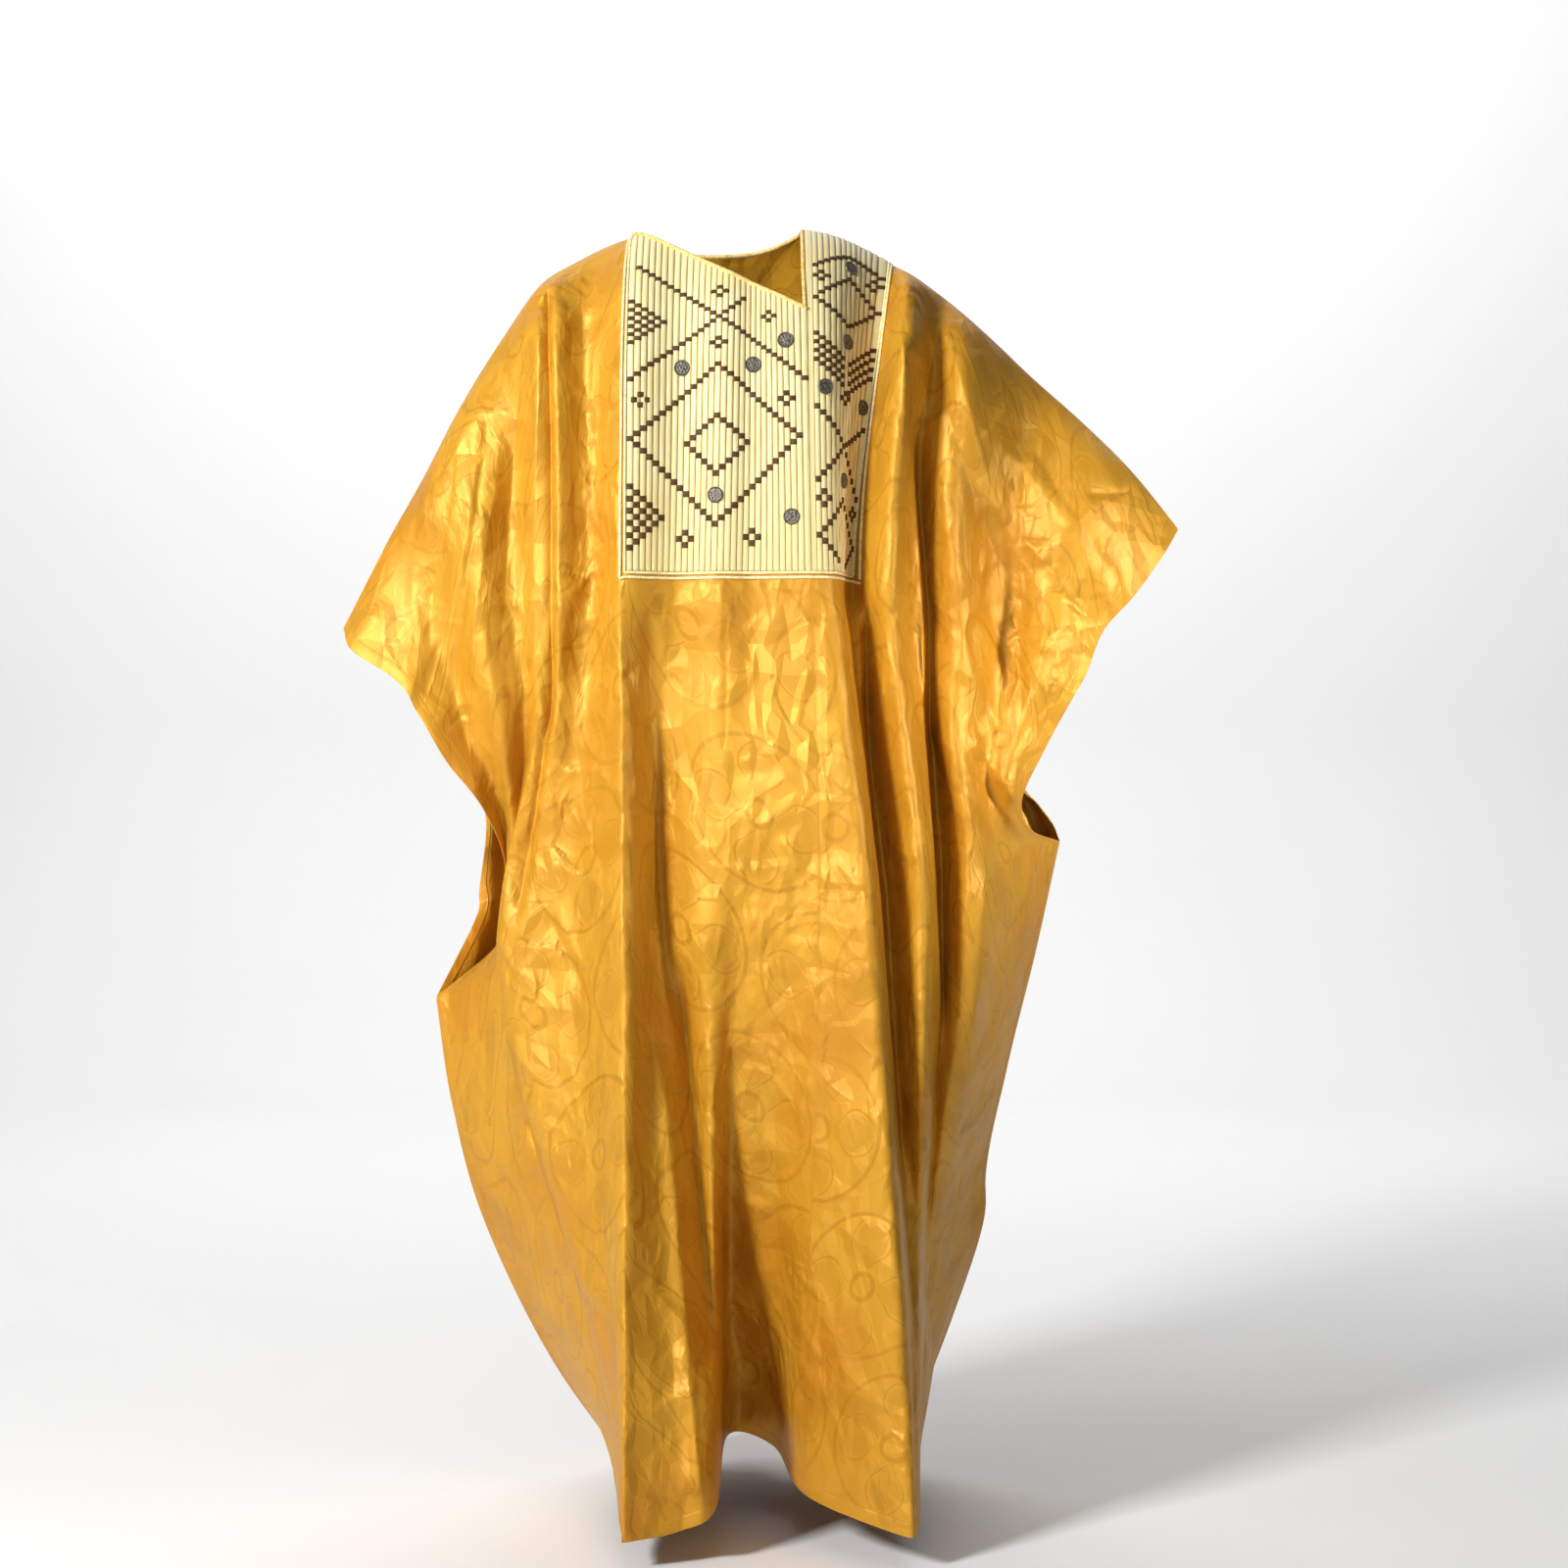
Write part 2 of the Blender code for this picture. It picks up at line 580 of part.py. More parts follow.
def make_bottom_cords(sheet, marks, material):
    """The pair of cords along the bottom of the bib, as far as the outer side of the other two."""
    left, _, right = marks
    distance, rise = cord_pair_profile()
    span = sheet.points[left:right, CHEST_ROW + 1] - sheet.points[left:right, CHEST_ROW]
    rows = CHEST_ROW + distance / np.median(np.linalg.norm(span, axis=-1))
    beside = [
        distance[-1] / np.linalg.norm(sheet.points[side, CHEST_ROW] - sheet.points[side + step, CHEST_ROW])
        for side, step in ((left, -1), (right, 1))
    ]
    columns = np.concatenate([[left - beside[0]], np.arange(left, right + 1), [right + beside[1]]])
    seat = CLOTH + SEATING
    inner = sheet.over(columns, rows, np.full((len(columns), len(rows)), seat))
    outer = sheet.over(columns, rows, np.repeat(seat + rise[None, :], len(columns), axis=0))
    kept = np.ones((len(columns) - 1, len(rows) - 1), bool)
    return make_wall("bib_edge_bottom", inner, outer, kept, sheet.facing, material)


def beside_edge(edge, outward, distance):
    """An edge's points moved off the cloth by a distance, where the opening is to the left of the edge's run."""
    along = unit(np.gradient(edge, axis=0))
    return edge + 0.5 * CLOTH * outward + unit(np.cross(outward, along)) * distance


def beside_corner(before, corner, after, outward, distance):
    """A point in the opening's corner, at the same distance from the two edges that meet there."""
    sides = np.stack([before - corner, after - corner])
    sides = unit(sides - (sides @ outward)[:, None] * outward)
    half = 0.5 * np.arccos(sides[0] @ sides[1])
    return corner + 0.5 * CLOTH * outward + unit(sides[0] + sides[1]) * distance / np.sin(half)


def piping_route(front, marks, back, neck_ends):
    """The piping's way round the neck: down the slanting edge, up from the neck point, and behind the neck."""
    distance = PIPING_RADIUS + SEATING
    columns = np.concatenate([np.arange(marks[0], marks[1]), np.full(NECK_ROW + 1, marks[1])])
    rows = np.concatenate([np.full(marks[1] - marks[0], NECK_ROW), np.arange(NECK_ROW, -1, -1)])
    edge, outward = front.points[columns, rows], front.outward[columns, rows]
    behind = slice(neck_ends[1], neck_ends[0] - 1, -1)
    nape, nape_outward = back.points[behind, 0], back.outward[behind, 0]
    point = marks[1] - marks[0]
    corners = [
        beside_corner(nape[-2], edge[0], edge[1], outward[0], distance),
        beside_corner(edge[point - 1], edge[point], edge[point + 1], outward[point], distance),
        beside_corner(edge[-2], edge[-1], nape[1], outward[-1], distance),
    ]
    slant = beside_edge(edge[: point + 1], outward[: point + 1], distance)[1:-1]
    rise = beside_edge(edge[point:], outward[point:], distance)[1:-1]
    back_run = beside_edge(nape, nape_outward, distance)[1:-1]
    return np.concatenate([corners[:1], slant, corners[1:2], rise, corners[2:], back_run])


def make_piping(front, marks, back, neck_ends, material):
    """The piping round the neck, as one closed cord."""
    route = piping_route(front, marks, back, neck_ends)
    curve = bpy.data.curves.new("neck_piping", "CURVE")
    curve.dimensions = "3D"
    curve.bevel_depth = PIPING_RADIUS
    curve.bevel_resolution = PIPING_ROUNDNESS
    line = curve.splines.new("POLY")
    line.points.add(len(route) - 1)
    line.points.foreach_set("co", np.column_stack([route, np.ones(len(route))]).ravel())
    line.use_cyclic_u = True
    curve.materials.append(material)
    item = bpy.data.objects.new("neck_piping", curve)
    bpy.context.scene.collection.objects.link(item)
    return item


def clear_scene():
    """Empties the scene of its objects."""
    for item in list(bpy.data.objects):
        bpy.data.objects.remove(item, do_unlink=True)


def main():
    clear_scene()
    gold = make_material("golden_damask", (0.86, 0.47, 0.07), 0.36)
    cream = make_material("cream_ribs", (0.90, 0.76, 0.40), 0.45)
    pale = make_material("pale_cord", (0.93, 0.84, 0.56), 0.50)
    piping = make_material("golden_piping", (0.78, 0.50, 0.16), 0.45)
    front, marks = build_front_sheet()
    back, neck_ends = build_back_sheet()
    make_panel("front_panel", front, gold)
    make_panel("back_panel", back, gold)
    make_bib(front, marks, cream)
    make_side_cords("bib_edge_left", front, marks[0], -1, pale)
    make_side_cords("bib_edge_right", front, marks[2], 1, pale)
    make_bottom_cords(front, marks, pale)
    make_piping(front, marks, back, neck_ends, piping)


main()
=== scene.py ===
"""Grand boubou robe: golden damask cloth, ribbed bib with brown stitched checks, cords and hems, over its solids.

Metres, +Z up, the robe hanging as it is worn. X runs across it, Y from front to back. Tables are in millimetres.
Each panel is one surface of two parameters: the fold number across, and the level down from shoulder to hem.
"""

import logging
import math
from dataclasses import dataclass, field
from enum import Enum

import bpy
import numpy as np
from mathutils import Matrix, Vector


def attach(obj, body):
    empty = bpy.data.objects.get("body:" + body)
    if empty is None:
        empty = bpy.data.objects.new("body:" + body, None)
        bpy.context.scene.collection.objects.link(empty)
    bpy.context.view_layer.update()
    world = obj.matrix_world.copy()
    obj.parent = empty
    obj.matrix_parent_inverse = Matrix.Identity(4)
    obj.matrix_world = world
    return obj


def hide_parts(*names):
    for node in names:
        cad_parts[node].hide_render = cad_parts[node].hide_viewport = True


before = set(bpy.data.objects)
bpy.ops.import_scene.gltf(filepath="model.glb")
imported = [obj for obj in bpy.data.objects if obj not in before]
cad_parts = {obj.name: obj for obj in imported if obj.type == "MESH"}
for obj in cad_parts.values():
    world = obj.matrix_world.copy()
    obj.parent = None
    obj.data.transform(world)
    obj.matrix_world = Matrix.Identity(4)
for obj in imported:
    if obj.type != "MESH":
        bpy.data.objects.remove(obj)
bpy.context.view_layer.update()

LOG = logging.getLogger("boubou")
MM = 0.001
TINY, SAME_PLACE, LEAST_LENGTH, FOLD_SLACK = 1e-9, 1e-7, 1e-4, 1e-6
BODY = "root"
GOLDEN_SLOT, CREAM_SLOT, CORD_SLOT, PIPING_SLOT = "golden_damask", "cream_ribs", "pale_cord", "golden_piping"
CLOTH_MAP = "cloth"
Colour = tuple[float, float, float]

# Levels down the robe, as parts of the way from shoulder to hem.
SHOULDER, NECK, CHEST, SEAM, HEM = 0.0, 0.07, 0.27, 0.62, 1.0
LEVELS = (SHOULDER, NECK, CHEST, SEAM, HEM)

# Heights of the chest level and of the tops of the side seams, in millimetres.
CHEST_Z = -376
CHEST_DROP_LEFT, CHEST_DROP_RIGHT = 198, 131
CHEST_DROP_POWER = 1.3
SEAM_TOP_LEFT_Z, SEAM_TOP_RIGHT_Z = -835, -662
NECK_HALF_WIDTH = 92
BACK_NECK_DROP = 26

# How many folds in from a side edge its own bends reach, at the sleeves and beside the side seams.
SLEEVE_REACH, SEAM_REACH = 4.6, 3.0

# Fold numbers of the bib's left side, of the neck point and of the bib's right side.
BIB_LEFT, NECK_POINT, BIB_RIGHT = 6.0, 11.0, 13.0

# The cloth's outer face over the solid's inner face, and the fineness of the panels' grids.
CLOTH_LIFT = 0.0016
FRONT_CELLS, FRONT_ROWS = (215, 85, 36, 199), 309
BACK_CELLS, BACK_ROWS = (280,), 290
# A first rough grid, and those of its rows whose mean width spaces the columns evenly.
ROUGH_COLUMNS, ROUGH_ROWS, WIDTH_ROWS = 600, 300, (80, 150, 186, 240)

# How round a crease's crest is, how many widths it reaches sideways, and the steps in its path for each place.
CREST_ROUNDING, CREASE_REACH, PATH_STEPS = 0.22, 5, 5
# Random ranges of the crumples, as parts of their zone's length, width and rise, and how they fade at both ends.
CRUMPLE_SPREAD, CRUMPLE_HALF_LENGTH, CRUMPLE_BOW = 0.5, (0.6, 1.9), (-0.4, 0.4)
CRUMPLE_WIDE, CRUMPLE_NARROW, CRUMPLE_RISE, CRUMPLE_FADE = (1.6, 3.4), (0.45, 0.8), (0.4, 1.2), 0.4
# The slow swell: how many sines, their lengths and greatest slant, its height, and how it is scaled.
SWELL_WAVES, SWELL_LENGTHS, SWELL_SLANT, SWELL_RISE, SWELL_MEAN = 14, (70, 260), 0.6, 0.9, 3
# Over what levels and folds creases grow, from the shoulder line and from a side edge, and their part at the edge.
TOP_EASE, SIDE_EASE, SIDE_PART = 0.03, 0.8, 0.25

# Angles in degrees from which edges stay sharp.
HEM_SHARP, CHECK_SHARP, STUD_SHARP, NEVER_SHARP = 60.0, 70.0, 50.0, 180.0
# The step, in fold numbers or levels, by which lengths of cloth are felt out.
SMALL_STEP = 0.05

# The shoulder line seen from the front: place across and height.
SHOULDER_LINE = np.array((
    (-410, -430), (-364, -339), (-320, -261), (-280, -185), (-232, -108), (-194, -57), (-156, -32), (-122, -15),
    (-93, -5), (93, 2), (128, -6), (183, -32), (225, -57), (287, -108), (342, -159), (399, -210), (450, -261),
    (499, -322),
), float)

# How far the ribbed cloth turns under at its foot, as a level, and how uneven a rib is along its length: the part of
# its height, waves in the whole length, their shift from rib to rib, and the part of a groove's height they start at.
BIB_TURN, RIB_WAVE, RIB_WAVES, RIB_SHIFT, WAVE_FROM = 0.0004, 0.10, 9, 0.37, 1.2
# The table of levels on the bib: fold numbers, levels and heights in it, its lowest height, and its reach downwards.
TABLE_COLUMNS, TABLE_LEVELS, TABLE_HEIGHTS, TABLE_LOW, TABLE_BELOW, BLOCK_STEPS = 160, 300, 400, -0.39, 0.03, 200
# Places of a mesh's lines across a rib, across and down a check, and out from a stud's middle.
RIB_PLACES = np.array([0.0, 0.06, 0.2, 0.35, 0.5, 0.65, 0.8, 0.94])
CHECK_ACROSS, CHECK_DOWN = np.array([-1, -0.86, -0.5, 0, 0.5, 0.86, 1.0]), np.array([-1, -0.86, 0, 0.86, 1.0])
STUD_PARTS = np.array([0.04, 0.14, 0.2, 0.26, 0.4, 0.5, 0.58, 0.66, 0.74, 0.8, 0.88, 0.96, 1.0, 1.0])
# How far a check bends over its rib, how far its two sides dip into the grooves, and the least distance of two.
CHECK_BEND, CHECK_DIP, CHECK_APART = 0.96, 0.10 * MM, 2.5 * MM


@dataclass(frozen=True)
class Fold:
    """One ridge or hollow: its place across, and its depth, at the levels that it passes, in millimetres."""

    name: str
    shoulder_x: float
    chest_x: float
    chest_y: float
    seam_x: float
    seam_y: float
    hem_x: float
    hem_y: float
    hem_z: float


@dataclass(frozen=True)
class EdgePoint:
    """A point of a panel's side edge: how far down the panel it comes, and where it is in millimetres."""

    level: float
    x: float
    y: float
    z: float


@dataclass(frozen=True)
class OverShoulder:
    """At one fold: how far the neck level lies below the shoulder line, and over what height the cloth rounds."""

    fold: str
    neck_drop: float
    rounding: float


def records(kind: type, *rows: tuple) -> tuple:
    """Records of one kind from rows of their values in order."""
    return tuple(kind(*row) for row in rows)


FRONT_FOLDS = records(
    Fold,
    ("left_edge", -410, -293, -60, -315, 50, -114, 120, -1359),
    ("left_cuff_hollow", -358, -271, -44, -290, 25, -113, 50, -1354),
    ("left_cuff_ridge", -300, -241, -80, -264, 0, -111, -20, -1356),
    ("left_sleeve_hollow", -241, -210, -66, -240, -25, -105, -90, -1363),
    ("left_shoulder_ridge", -190, -176, -108, -221, -50, -99, -150, -1372),
    ("left_chest_hollow", -144, -136, -88, -155, -82, -93, -190, -1374),
    ("left_lobe_ridge", -93, -95, -128, -97, -145, -90, -203, -1373),
    ("left_lobe_hollow", -37, -44, -116, -67, -112, -40, -184, -1368),
    ("left_lobe_corner", 11, 3, -130, -15, -128, -3, -165, -1351),
    ("arch_left", 37, 34, -124, 20, -122, 7, 10, -1312),
    ("arch_right", 64, 70, -130, 61, -132, 59, 0, -1321),
    ("neck_point", 92, 98, -132, 108, -146, 94, -100, -1351),
    ("right_lobe_ridge", 123, 123, -122, 158, -158, 188, -200, -1367),
    ("bib_right_hollow", 182, 143, -70, 179, -98, 204, -190, -1369),
    ("right_shoulder_ridge", 205, 180, -122, 214, -132, 209, -150, -1368),
    ("right_chest_hollow", 235, 212, -72, 239, -62, 212, -95, -1366),
    ("right_sleeve_ridge", 278, 250, -100, 266, -92, 213, -25, -1357),
    ("right_sleeve_hollow", 350, 304, -48, 312, -25, 215, 60, -1349),
    ("right_cuff_ridge", 425, 343, -78, 345, 15, 215, 130, -1341),
    ("right_edge", 499, 378, -60, 375, 60, 217, 200, -1338),
)
BACK_FOLDS = records(
    Fold,
    ("left_edge", -410, -300, 60, -315, 50, -114, 120, -1359),
    ("left_cuff_hollow", -358, -279, 42, -281, 75, -112, 190, -1358),
    ("left_cuff_ridge", -284, -244, 88, -244, 128, -102, 270, -1347),
    ("left_sleeve_hollow", -219, -198, 68, -195, 95, -81, 205, -1350),
    ("left_shoulder_ridge", -160, -161, 118, -152, 150, -65, 310, -1350),
    ("left_back_hollow", -93, -105, 106, -95, 118, -39, 225, -1353),
    ("left_back_ridge", -48, -51, 130, -41, 165, -15, 325, -1351),
    ("centre_back_hollow", 0, 5, 114, 16, 122, 15, 232, -1351),
    ("right_back_ridge", 48, 58, 130, 72, 170, 44, 328, -1352),
    ("right_back_hollow", 92, 112, 108, 127, 122, 75, 230, -1350),
    ("right_shoulder_ridge", 160, 163, 122, 187, 155, 107, 318, -1352),
    ("right_sleeve_hollow", 219, 207, 84, 235, 102, 136, 225, -1349),
    ("right_sleeve_ridge", 284, 263, 102, 292, 132, 169, 300, -1350),
    ("right_cuff_hollow", 358, 311, 54, 333, 84, 195, 215, -1341),
    ("right_cuff_ridge", 423, 352, 76, 357, 82, 210, 240, -1347),
    ("right_edge", 499, 384, 60, 375, 60, 217, 200, -1338),
)

FRONT_SHOULDER = records(
    OverShoulder,
    ("left_edge", 53, 95), ("left_cuff_ridge", 90, 102), ("left_shoulder_ridge", 80, 110), ("left_lobe_ridge", 0, 200),
    ("neck_point", 105, 200), ("bib_right_hollow", 96, 200), ("right_chest_hollow", 87, 110), ("right_edge", 70, 75),
)
BACK_SHOULDER = records(
    OverShoulder,
    ("left_edge", 50, 95), ("left_cuff_ridge", 95, 105), ("left_sleeve_hollow", 95, 110),
    ("left_back_hollow", 95, 180), ("right_back_hollow", 95, 180), ("right_sleeve_ridge", 95, 110),
    ("right_cuff_hollow", 95, 98), ("right_edge", 63, 75),
)


# The side seams, from the seam's top to the hem, which front and back share.
LEFT_SEAM = records(
    EdgePoint, (SEAM, -315, 50, -835), (0.72, -298, 55, -952), (0.82, -264, 70, -1084), (0.92, -189, 100, -1248),
    (HEM, -114, 120, -1359),
)
RIGHT_SEAM = records(
    EdgePoint, (SEAM, 375, 60, -662), (0.72, 348, 65, -787), (0.82, 317, 80, -919), (0.90, 296, 110, -1042),
    (0.93, 295, 125, -1093), (0.97, 261, 165, -1212), (HEM, 217, 200, -1338),
)
# The open edges of the sleeves, from the cuff's corner to just over the top of the side seam.
LEFT_FRONT_EDGE = records(
    EdgePoint, (SHOULDER, -410, 0, -430), (0.035, -397, -30, -455), (NECK, -356, -50, -481), (0.16, -324, -58, -522),
    (CHEST, -293, -60, -574), (0.39, -253, -40, -630), (0.45, -240, 10, -671), (0.53, -238, 65, -735),
    (0.58, -246, 72, -778),
)
LEFT_BACK_EDGE = records(
    EdgePoint, (SHOULDER, -410, 0, -430), (0.035, -401, 30, -450), (NECK, -362, 50, -479), (CHEST, -300, 60, -573),
    (0.39, -263, 65, -634), (0.50, -272, 85, -718), (0.56, -276, 80, -751),
)
RIGHT_FRONT_EDGE = records(
    EdgePoint, (SHOULDER, 499, 0, -322), (0.035, 477, -30, -355), (NECK, 449, -50, -392), (0.13, 413, -55, -433),
    (0.20, 393, -58, -481), (CHEST, 378, -60, -507), (0.37, 349, -60, -560), (0.46, 324, -60, -615),
    (0.55, 339, -15, -649),
)
RIGHT_BACK_EDGE = records(
    EdgePoint, (SHOULDER, 499, 0, -322), (0.035, 480, 30, -351), (NECK, 452, 50, -385), (CHEST, 381, 60, -503),
    (0.44, 334, 60, -606), (0.50, 351, 63, -622), (0.56, 368, 64, -644),
)


@dataclass(frozen=True)
class Crease:
    """A crease given on a panel, seen from straight in front or behind.

    Its path is a row of places (across, height). `left` and `right` are its widths on the side of lower and of
    higher X, `rise` its height over the cloth, negative for a trough, and `start` and `end` the parts of its
    length over which it fades in and out. All sizes are in millimetres.
    """

    name: str
    path: tuple[tuple[float, float], ...]
    left: float
    right: float
    rise: float
    start: float
    end: float


@dataclass(frozen=True)
class CrumpleZone:
    """An oval patch of short crisp crumples: middle, half sizes, how many, and their length, width and height."""

    name: str
    middle: tuple[float, float]
    spread: tuple[float, float]
    count: int
    length: float
    width: float
    rise: float


FRONT_CREASES = records(
    Crease,
    ("sleeve_valley", ((-183, -66), (-178, -206), (-177, -351), (-178, -495), (-186, -557), (-200, -652),
        (-221, -762)), 20, 4, -17, 0.03, 0.08),
    ("pleat_line", ((-183, -66), (-177, -206), (-175, -351), (-176, -495), (-184, -557)), 2.2, 1.6, -5, 0.02,
        0.1),
    ("sleeve_crest", ((-190, -76), (-191, -205), (-195, -350), (-196, -495), (-205, -578)), 22, 10, 8, 0.1, 0.3),
    ("bib_side_ridge", ((-106, -219), (-105, -352), (-101, -435), (-98, -702), (-94, -1006), (-94, -1364)), 12, 9,
        9, 0.2, 0),
    ("lobe_valley", ((-75, -393), (-72, -496), (-68, -599), (-62, -702), (-50, -815), (-31, -939), (-17, -1114),
        (-9, -1238)), 14, 22, -20, 0.1, 0.15),
    ("lobe_edge", ((-95, -650), (-85, -743), (-70, -846), (-50, -960), (-35, -1126), (-25, -1238), (-15, -1341)),
        34, 6, 12, 0.25, 0.05),
    ("arch_valley", ((-44, -764), (-31, -887), (-20, -1011), (-12, -1124), (-6, -1227)), 9, 14, -30, 0.2, 0.12),
    ("arch_fill", ((20, -867), (28, -990), (37, -1114), (41, -1196)), 22, 40, 16, 0.35, 0.35),
    ("right_ridge", ((144, -393), (152, -465), (154, -552), (158, -642), (162, -702), (176, -887), (188, -1052),
        (198, -1217)), 26, 4, 13, 0.12, 0.1),
    ("right_fine_ridge", ((113, -394), (114, -558), (111, -701), (108, -865), (106, -988)), 5, 5, 2.2, 0.2, 0.2),
    ("right_valley", ((158, -393), (159, -465), (161, -552), (165, -642), (171, -702), (185, -887), (197, -1052),
        (209, -1217)), 4, 24, -22, 0.1, 0.1),
    ("low_valley", ((200, -960), (214, -1080), (229, -1190), (246, -1300)), 12, 44, -34, 0.25, 0.12),
    ("second_ridge", ((189, -74), (195, -146), (198, -228), (204, -282), (215, -372), (219, -462), (221, -552),
        (223, -642), (226, -702), (234, -805), (241, -935)), 22, 4, 12, 0.12, 0.15),
    ("second_valley", ((195, -146), (206, -228), (211, -282), (222, -372), (226, -462), (228, -552), (229, -642),
        (232, -702), (240, -805), (247, -935)), 4, 17, -20, 0.12, 0.15),
    ("second_valley_wide", ((224, -352), (231, -455), (234, -552), (236, -640)), 6, 36, -12, 0.3, 0.3),
    ("right_sleeve_ridge", ((201, -74), (219, -186), (237, -282), (248, -372), (264, -462), (288, -522),
        (306, -558)), 14, 16, 9, 0.1, 0.15),
    ("right_sleeve_trough", ((225, -120), (240, -187), (260, -259), (286, -331), (312, -396)), 12, 8, -7, 0.2,
        0.25),
    ("right_sleeve_second_ridge", ((231, -84), (250, -146), (264, -197), (281, -259), (312, -331), (339, -393)),
        8, 18, 7, 0.15, 0.3),
    ("right_sleeve_low_trough", ((260, -311), (281, -383), (304, -455), (322, -517)), 10, 16, -7, 0.25, 0.25),
    ("right_sleeve_lap", ((260, -542), (290, -579), (319, -620)), 6, 22, 8, 0.2, 0.1),
    ("wing_ridge", ((288, -650), (282, -733), (276, -815), (267, -898), (259, -970)), 20, 38, 26, 0.25, 0.3),
    ("tucked_bump", ((10, -1146), (29, -1171), (49, -1201), (59, -1168), (68, -1150)), 8, 8, 6, 0.2, 0.2),
    ("bump_tail", ((70, -1145), (100, -1189), (117, -1208)), 6, 6, 4, 0.3, 0.3),
    ("bump_side", ((108, -1108), (115, -1159), (121, -1200)), 5, 5, 3, 0.3, 0.3),
    ("lobe_cross", ((-17, -1221), (-42, -1232), (-72, -1247)), 6, 6, 4, 0.2, 0.3),
    ("left_low_cross", ((-153, -1292), (-122, -1252), (-107, -1239)), 5, 5, 4, 0.3, 0.1),
    ("left_low_dip", ((-186, -1154), (-136, -1154), (-101, -1158)), 8, 8, -4, 0.3, 0.2),
    ("centre_cross", ((6, -1041), (38, -1045), (70, -1048)), 5, 5, 2.5, 0.3, 0.3),
    ("left_diagonal", ((-186, -732), (-149, -802), (-118, -860)), 6, 4, -5, 0.15, 0.2),
    ("left_diagonal_lip", ((-180, -727), (-140, -795), (-110, -855)), 4, 8, 3, 0.15, 0.2),
    ("short_tuck", ((-208, -960), (-198, -983), (-189, -1004)), 5, 4, -8, 0.2, 0.2),
    ("flap_tuck", ((-232, -781), (-265, -802), (-313, -832)), 4, 14, -9, 0.05, 0.05),
    ("flap_ridge", ((-227, -763), (-267, -786), (-297, -815)), 10, 8, 5, 0.1, 0.2),
    ("gather_a", ((-182, -683), (-149, -696), (-113, -704)), 4, 4, 3.5, 0.2, 0.2),
    ("gather_b", ((-169, -589), (-139, -583), (-113, -592)), 5, 5, 3, 0.2, 0.2),
    ("gather_c", ((-95, -620), (-86, -661), (-82, -707)), 4, 4, 3, 0.2, 0.2),
    ("gather_d", ((-133, -630), (-128, -671), (-110, -702)), 5, 5, -4, 0.2, 0.2),
    ("gather_e", ((-95, -496), (-89, -558), (-84, -620)), 5, 5, 3, 0.2, 0.2),
    ("sleeve_streak_a", ((-235, -213), (-236, -262), (-245, -327), (-259, -416), (-266, -512)), 8, 8, 4, 0.25,
        0.2),
    ("sleeve_streak_b", ((-186, -150), (-193, -241), (-205, -336), (-213, -416), (-217, -512)), 7, 7, 3, 0.25,
        0.2),
    ("sleeve_streak_c", ((-258, -255), (-269, -343), (-288, -415), (-289, -487)), 8, 8, 4, 0.25, 0.2),
    ("sleeve_streak_d", ((-328, -345), (-330, -397), (-321, -446)), 12, 12, 3.5, 0.3, 0.3),
    ("sleeve_trough_a", ((-206, -110), (-214, -203), (-224, -306), (-231, -416), (-239, -512)), 7, 7, -3, 0.2,
        0.2),
    ("sleeve_trough_b", ((-246, -178), (-253, -264), (-265, -359), (-275, -441), (-281, -515)), 7, 7, -3, 0.2,
        0.2),
    ("sleeve_trough_c", ((-278, -220), (-292, -327), (-310, -409), (-312, -473)), 8, 8, -3.2, 0.2, 0.2),
    ("chest_streak", ((-143, -234), (-139, -288), (-123, -338)), 8, 8, 2.5, 0.3, 0.3),
    ("chest_dip", ((-172, -374), (-138, -381), (-105, -383)), 4, 4, -3.5, 0.2, 0.2),
    ("chest_lip", ((-162, -404), (-143, -383), (-122, -367)), 5, 5, 4, 0.2, 0.2),
    ("chest_lip_b", ((-154, -433), (-125, -421), (-103, -424)), 5, 5, 3, 0.2, 0.2),
    ("sleeve_line", ((390, -287), (423, -288), (457, -278)), 3, 3, -3, 0.2, 0.2),
    ("elbow_a", ((276, -235), (300, -209), (316, -175)), 5, 5, 4, 0.2, 0.3),
    ("elbow_b", ((276, -235), (318, -250), (353, -291), (392, -322)), 8, 10, 3, 0.3, 0.3),
    ("elbow_c", ((306, -198), (334, -233), (377, -307), (412, -361), (433, -391)), 9, 16, -4.5, 0.45, 0.1),
    ("elbow_d", ((323, -330), (347, -361), (376, -401)), 4, 4, 3, 0.2, 0.3),
    ("cuff_tuck", ((366, -397), (389, -416), (410, -427)), 4, 4, -4, 0.2, 0.1),
    ("cuff_lip", ((371, -409), (388, -425), (404, -435)), 4, 4, 3, 0.2, 0.2),
    ("elbow_fall", ((313, -400), (325, -462), (321, -556)), 5, 8, -4, 0.2, 0.3),
    ("elbow_fall_lip", ((323, -446), (331, -491)), 4, 4, 3, 0.3, 0.3),
    ("shoulder_dip", ((222, -74), (239, -130), (262, -194), (281, -235)), 14, 20, -2.5, 0.2, 0.3),
    ("beside_bib", ((185, -119), (184, -176), (193, -228)), 5, 6, -6, 0.3, 0.3),
    ("centre_line", ((8, -386), (9, -476), (8, -568)), 2.5, 2.5, -1.3, 0.05, 0.05),
    ("centre_dip", ((-11, -584), (34, -586), (82, -582)), 8, 8, -1.2, 0.3, 0.3),
    ("centre_lip", ((-7, -569), (29, -575), (70, -572)), 4, 4, 1.0, 0.3, 0.3),
    ("centre_fold", ((64, -650), (78, -673), (88, -696)), 5, 5, 4, 0.3, 0.3),
    ("centre_fold_b", ((2, -869), (39, -880), (72, -903)), 5, 5, 3, 0.3, 0.3),
    ("centre_fold_c", ((10, -620), (39, -640), (68, -635)), 5, 5, 2.5, 0.3, 0.3),
)

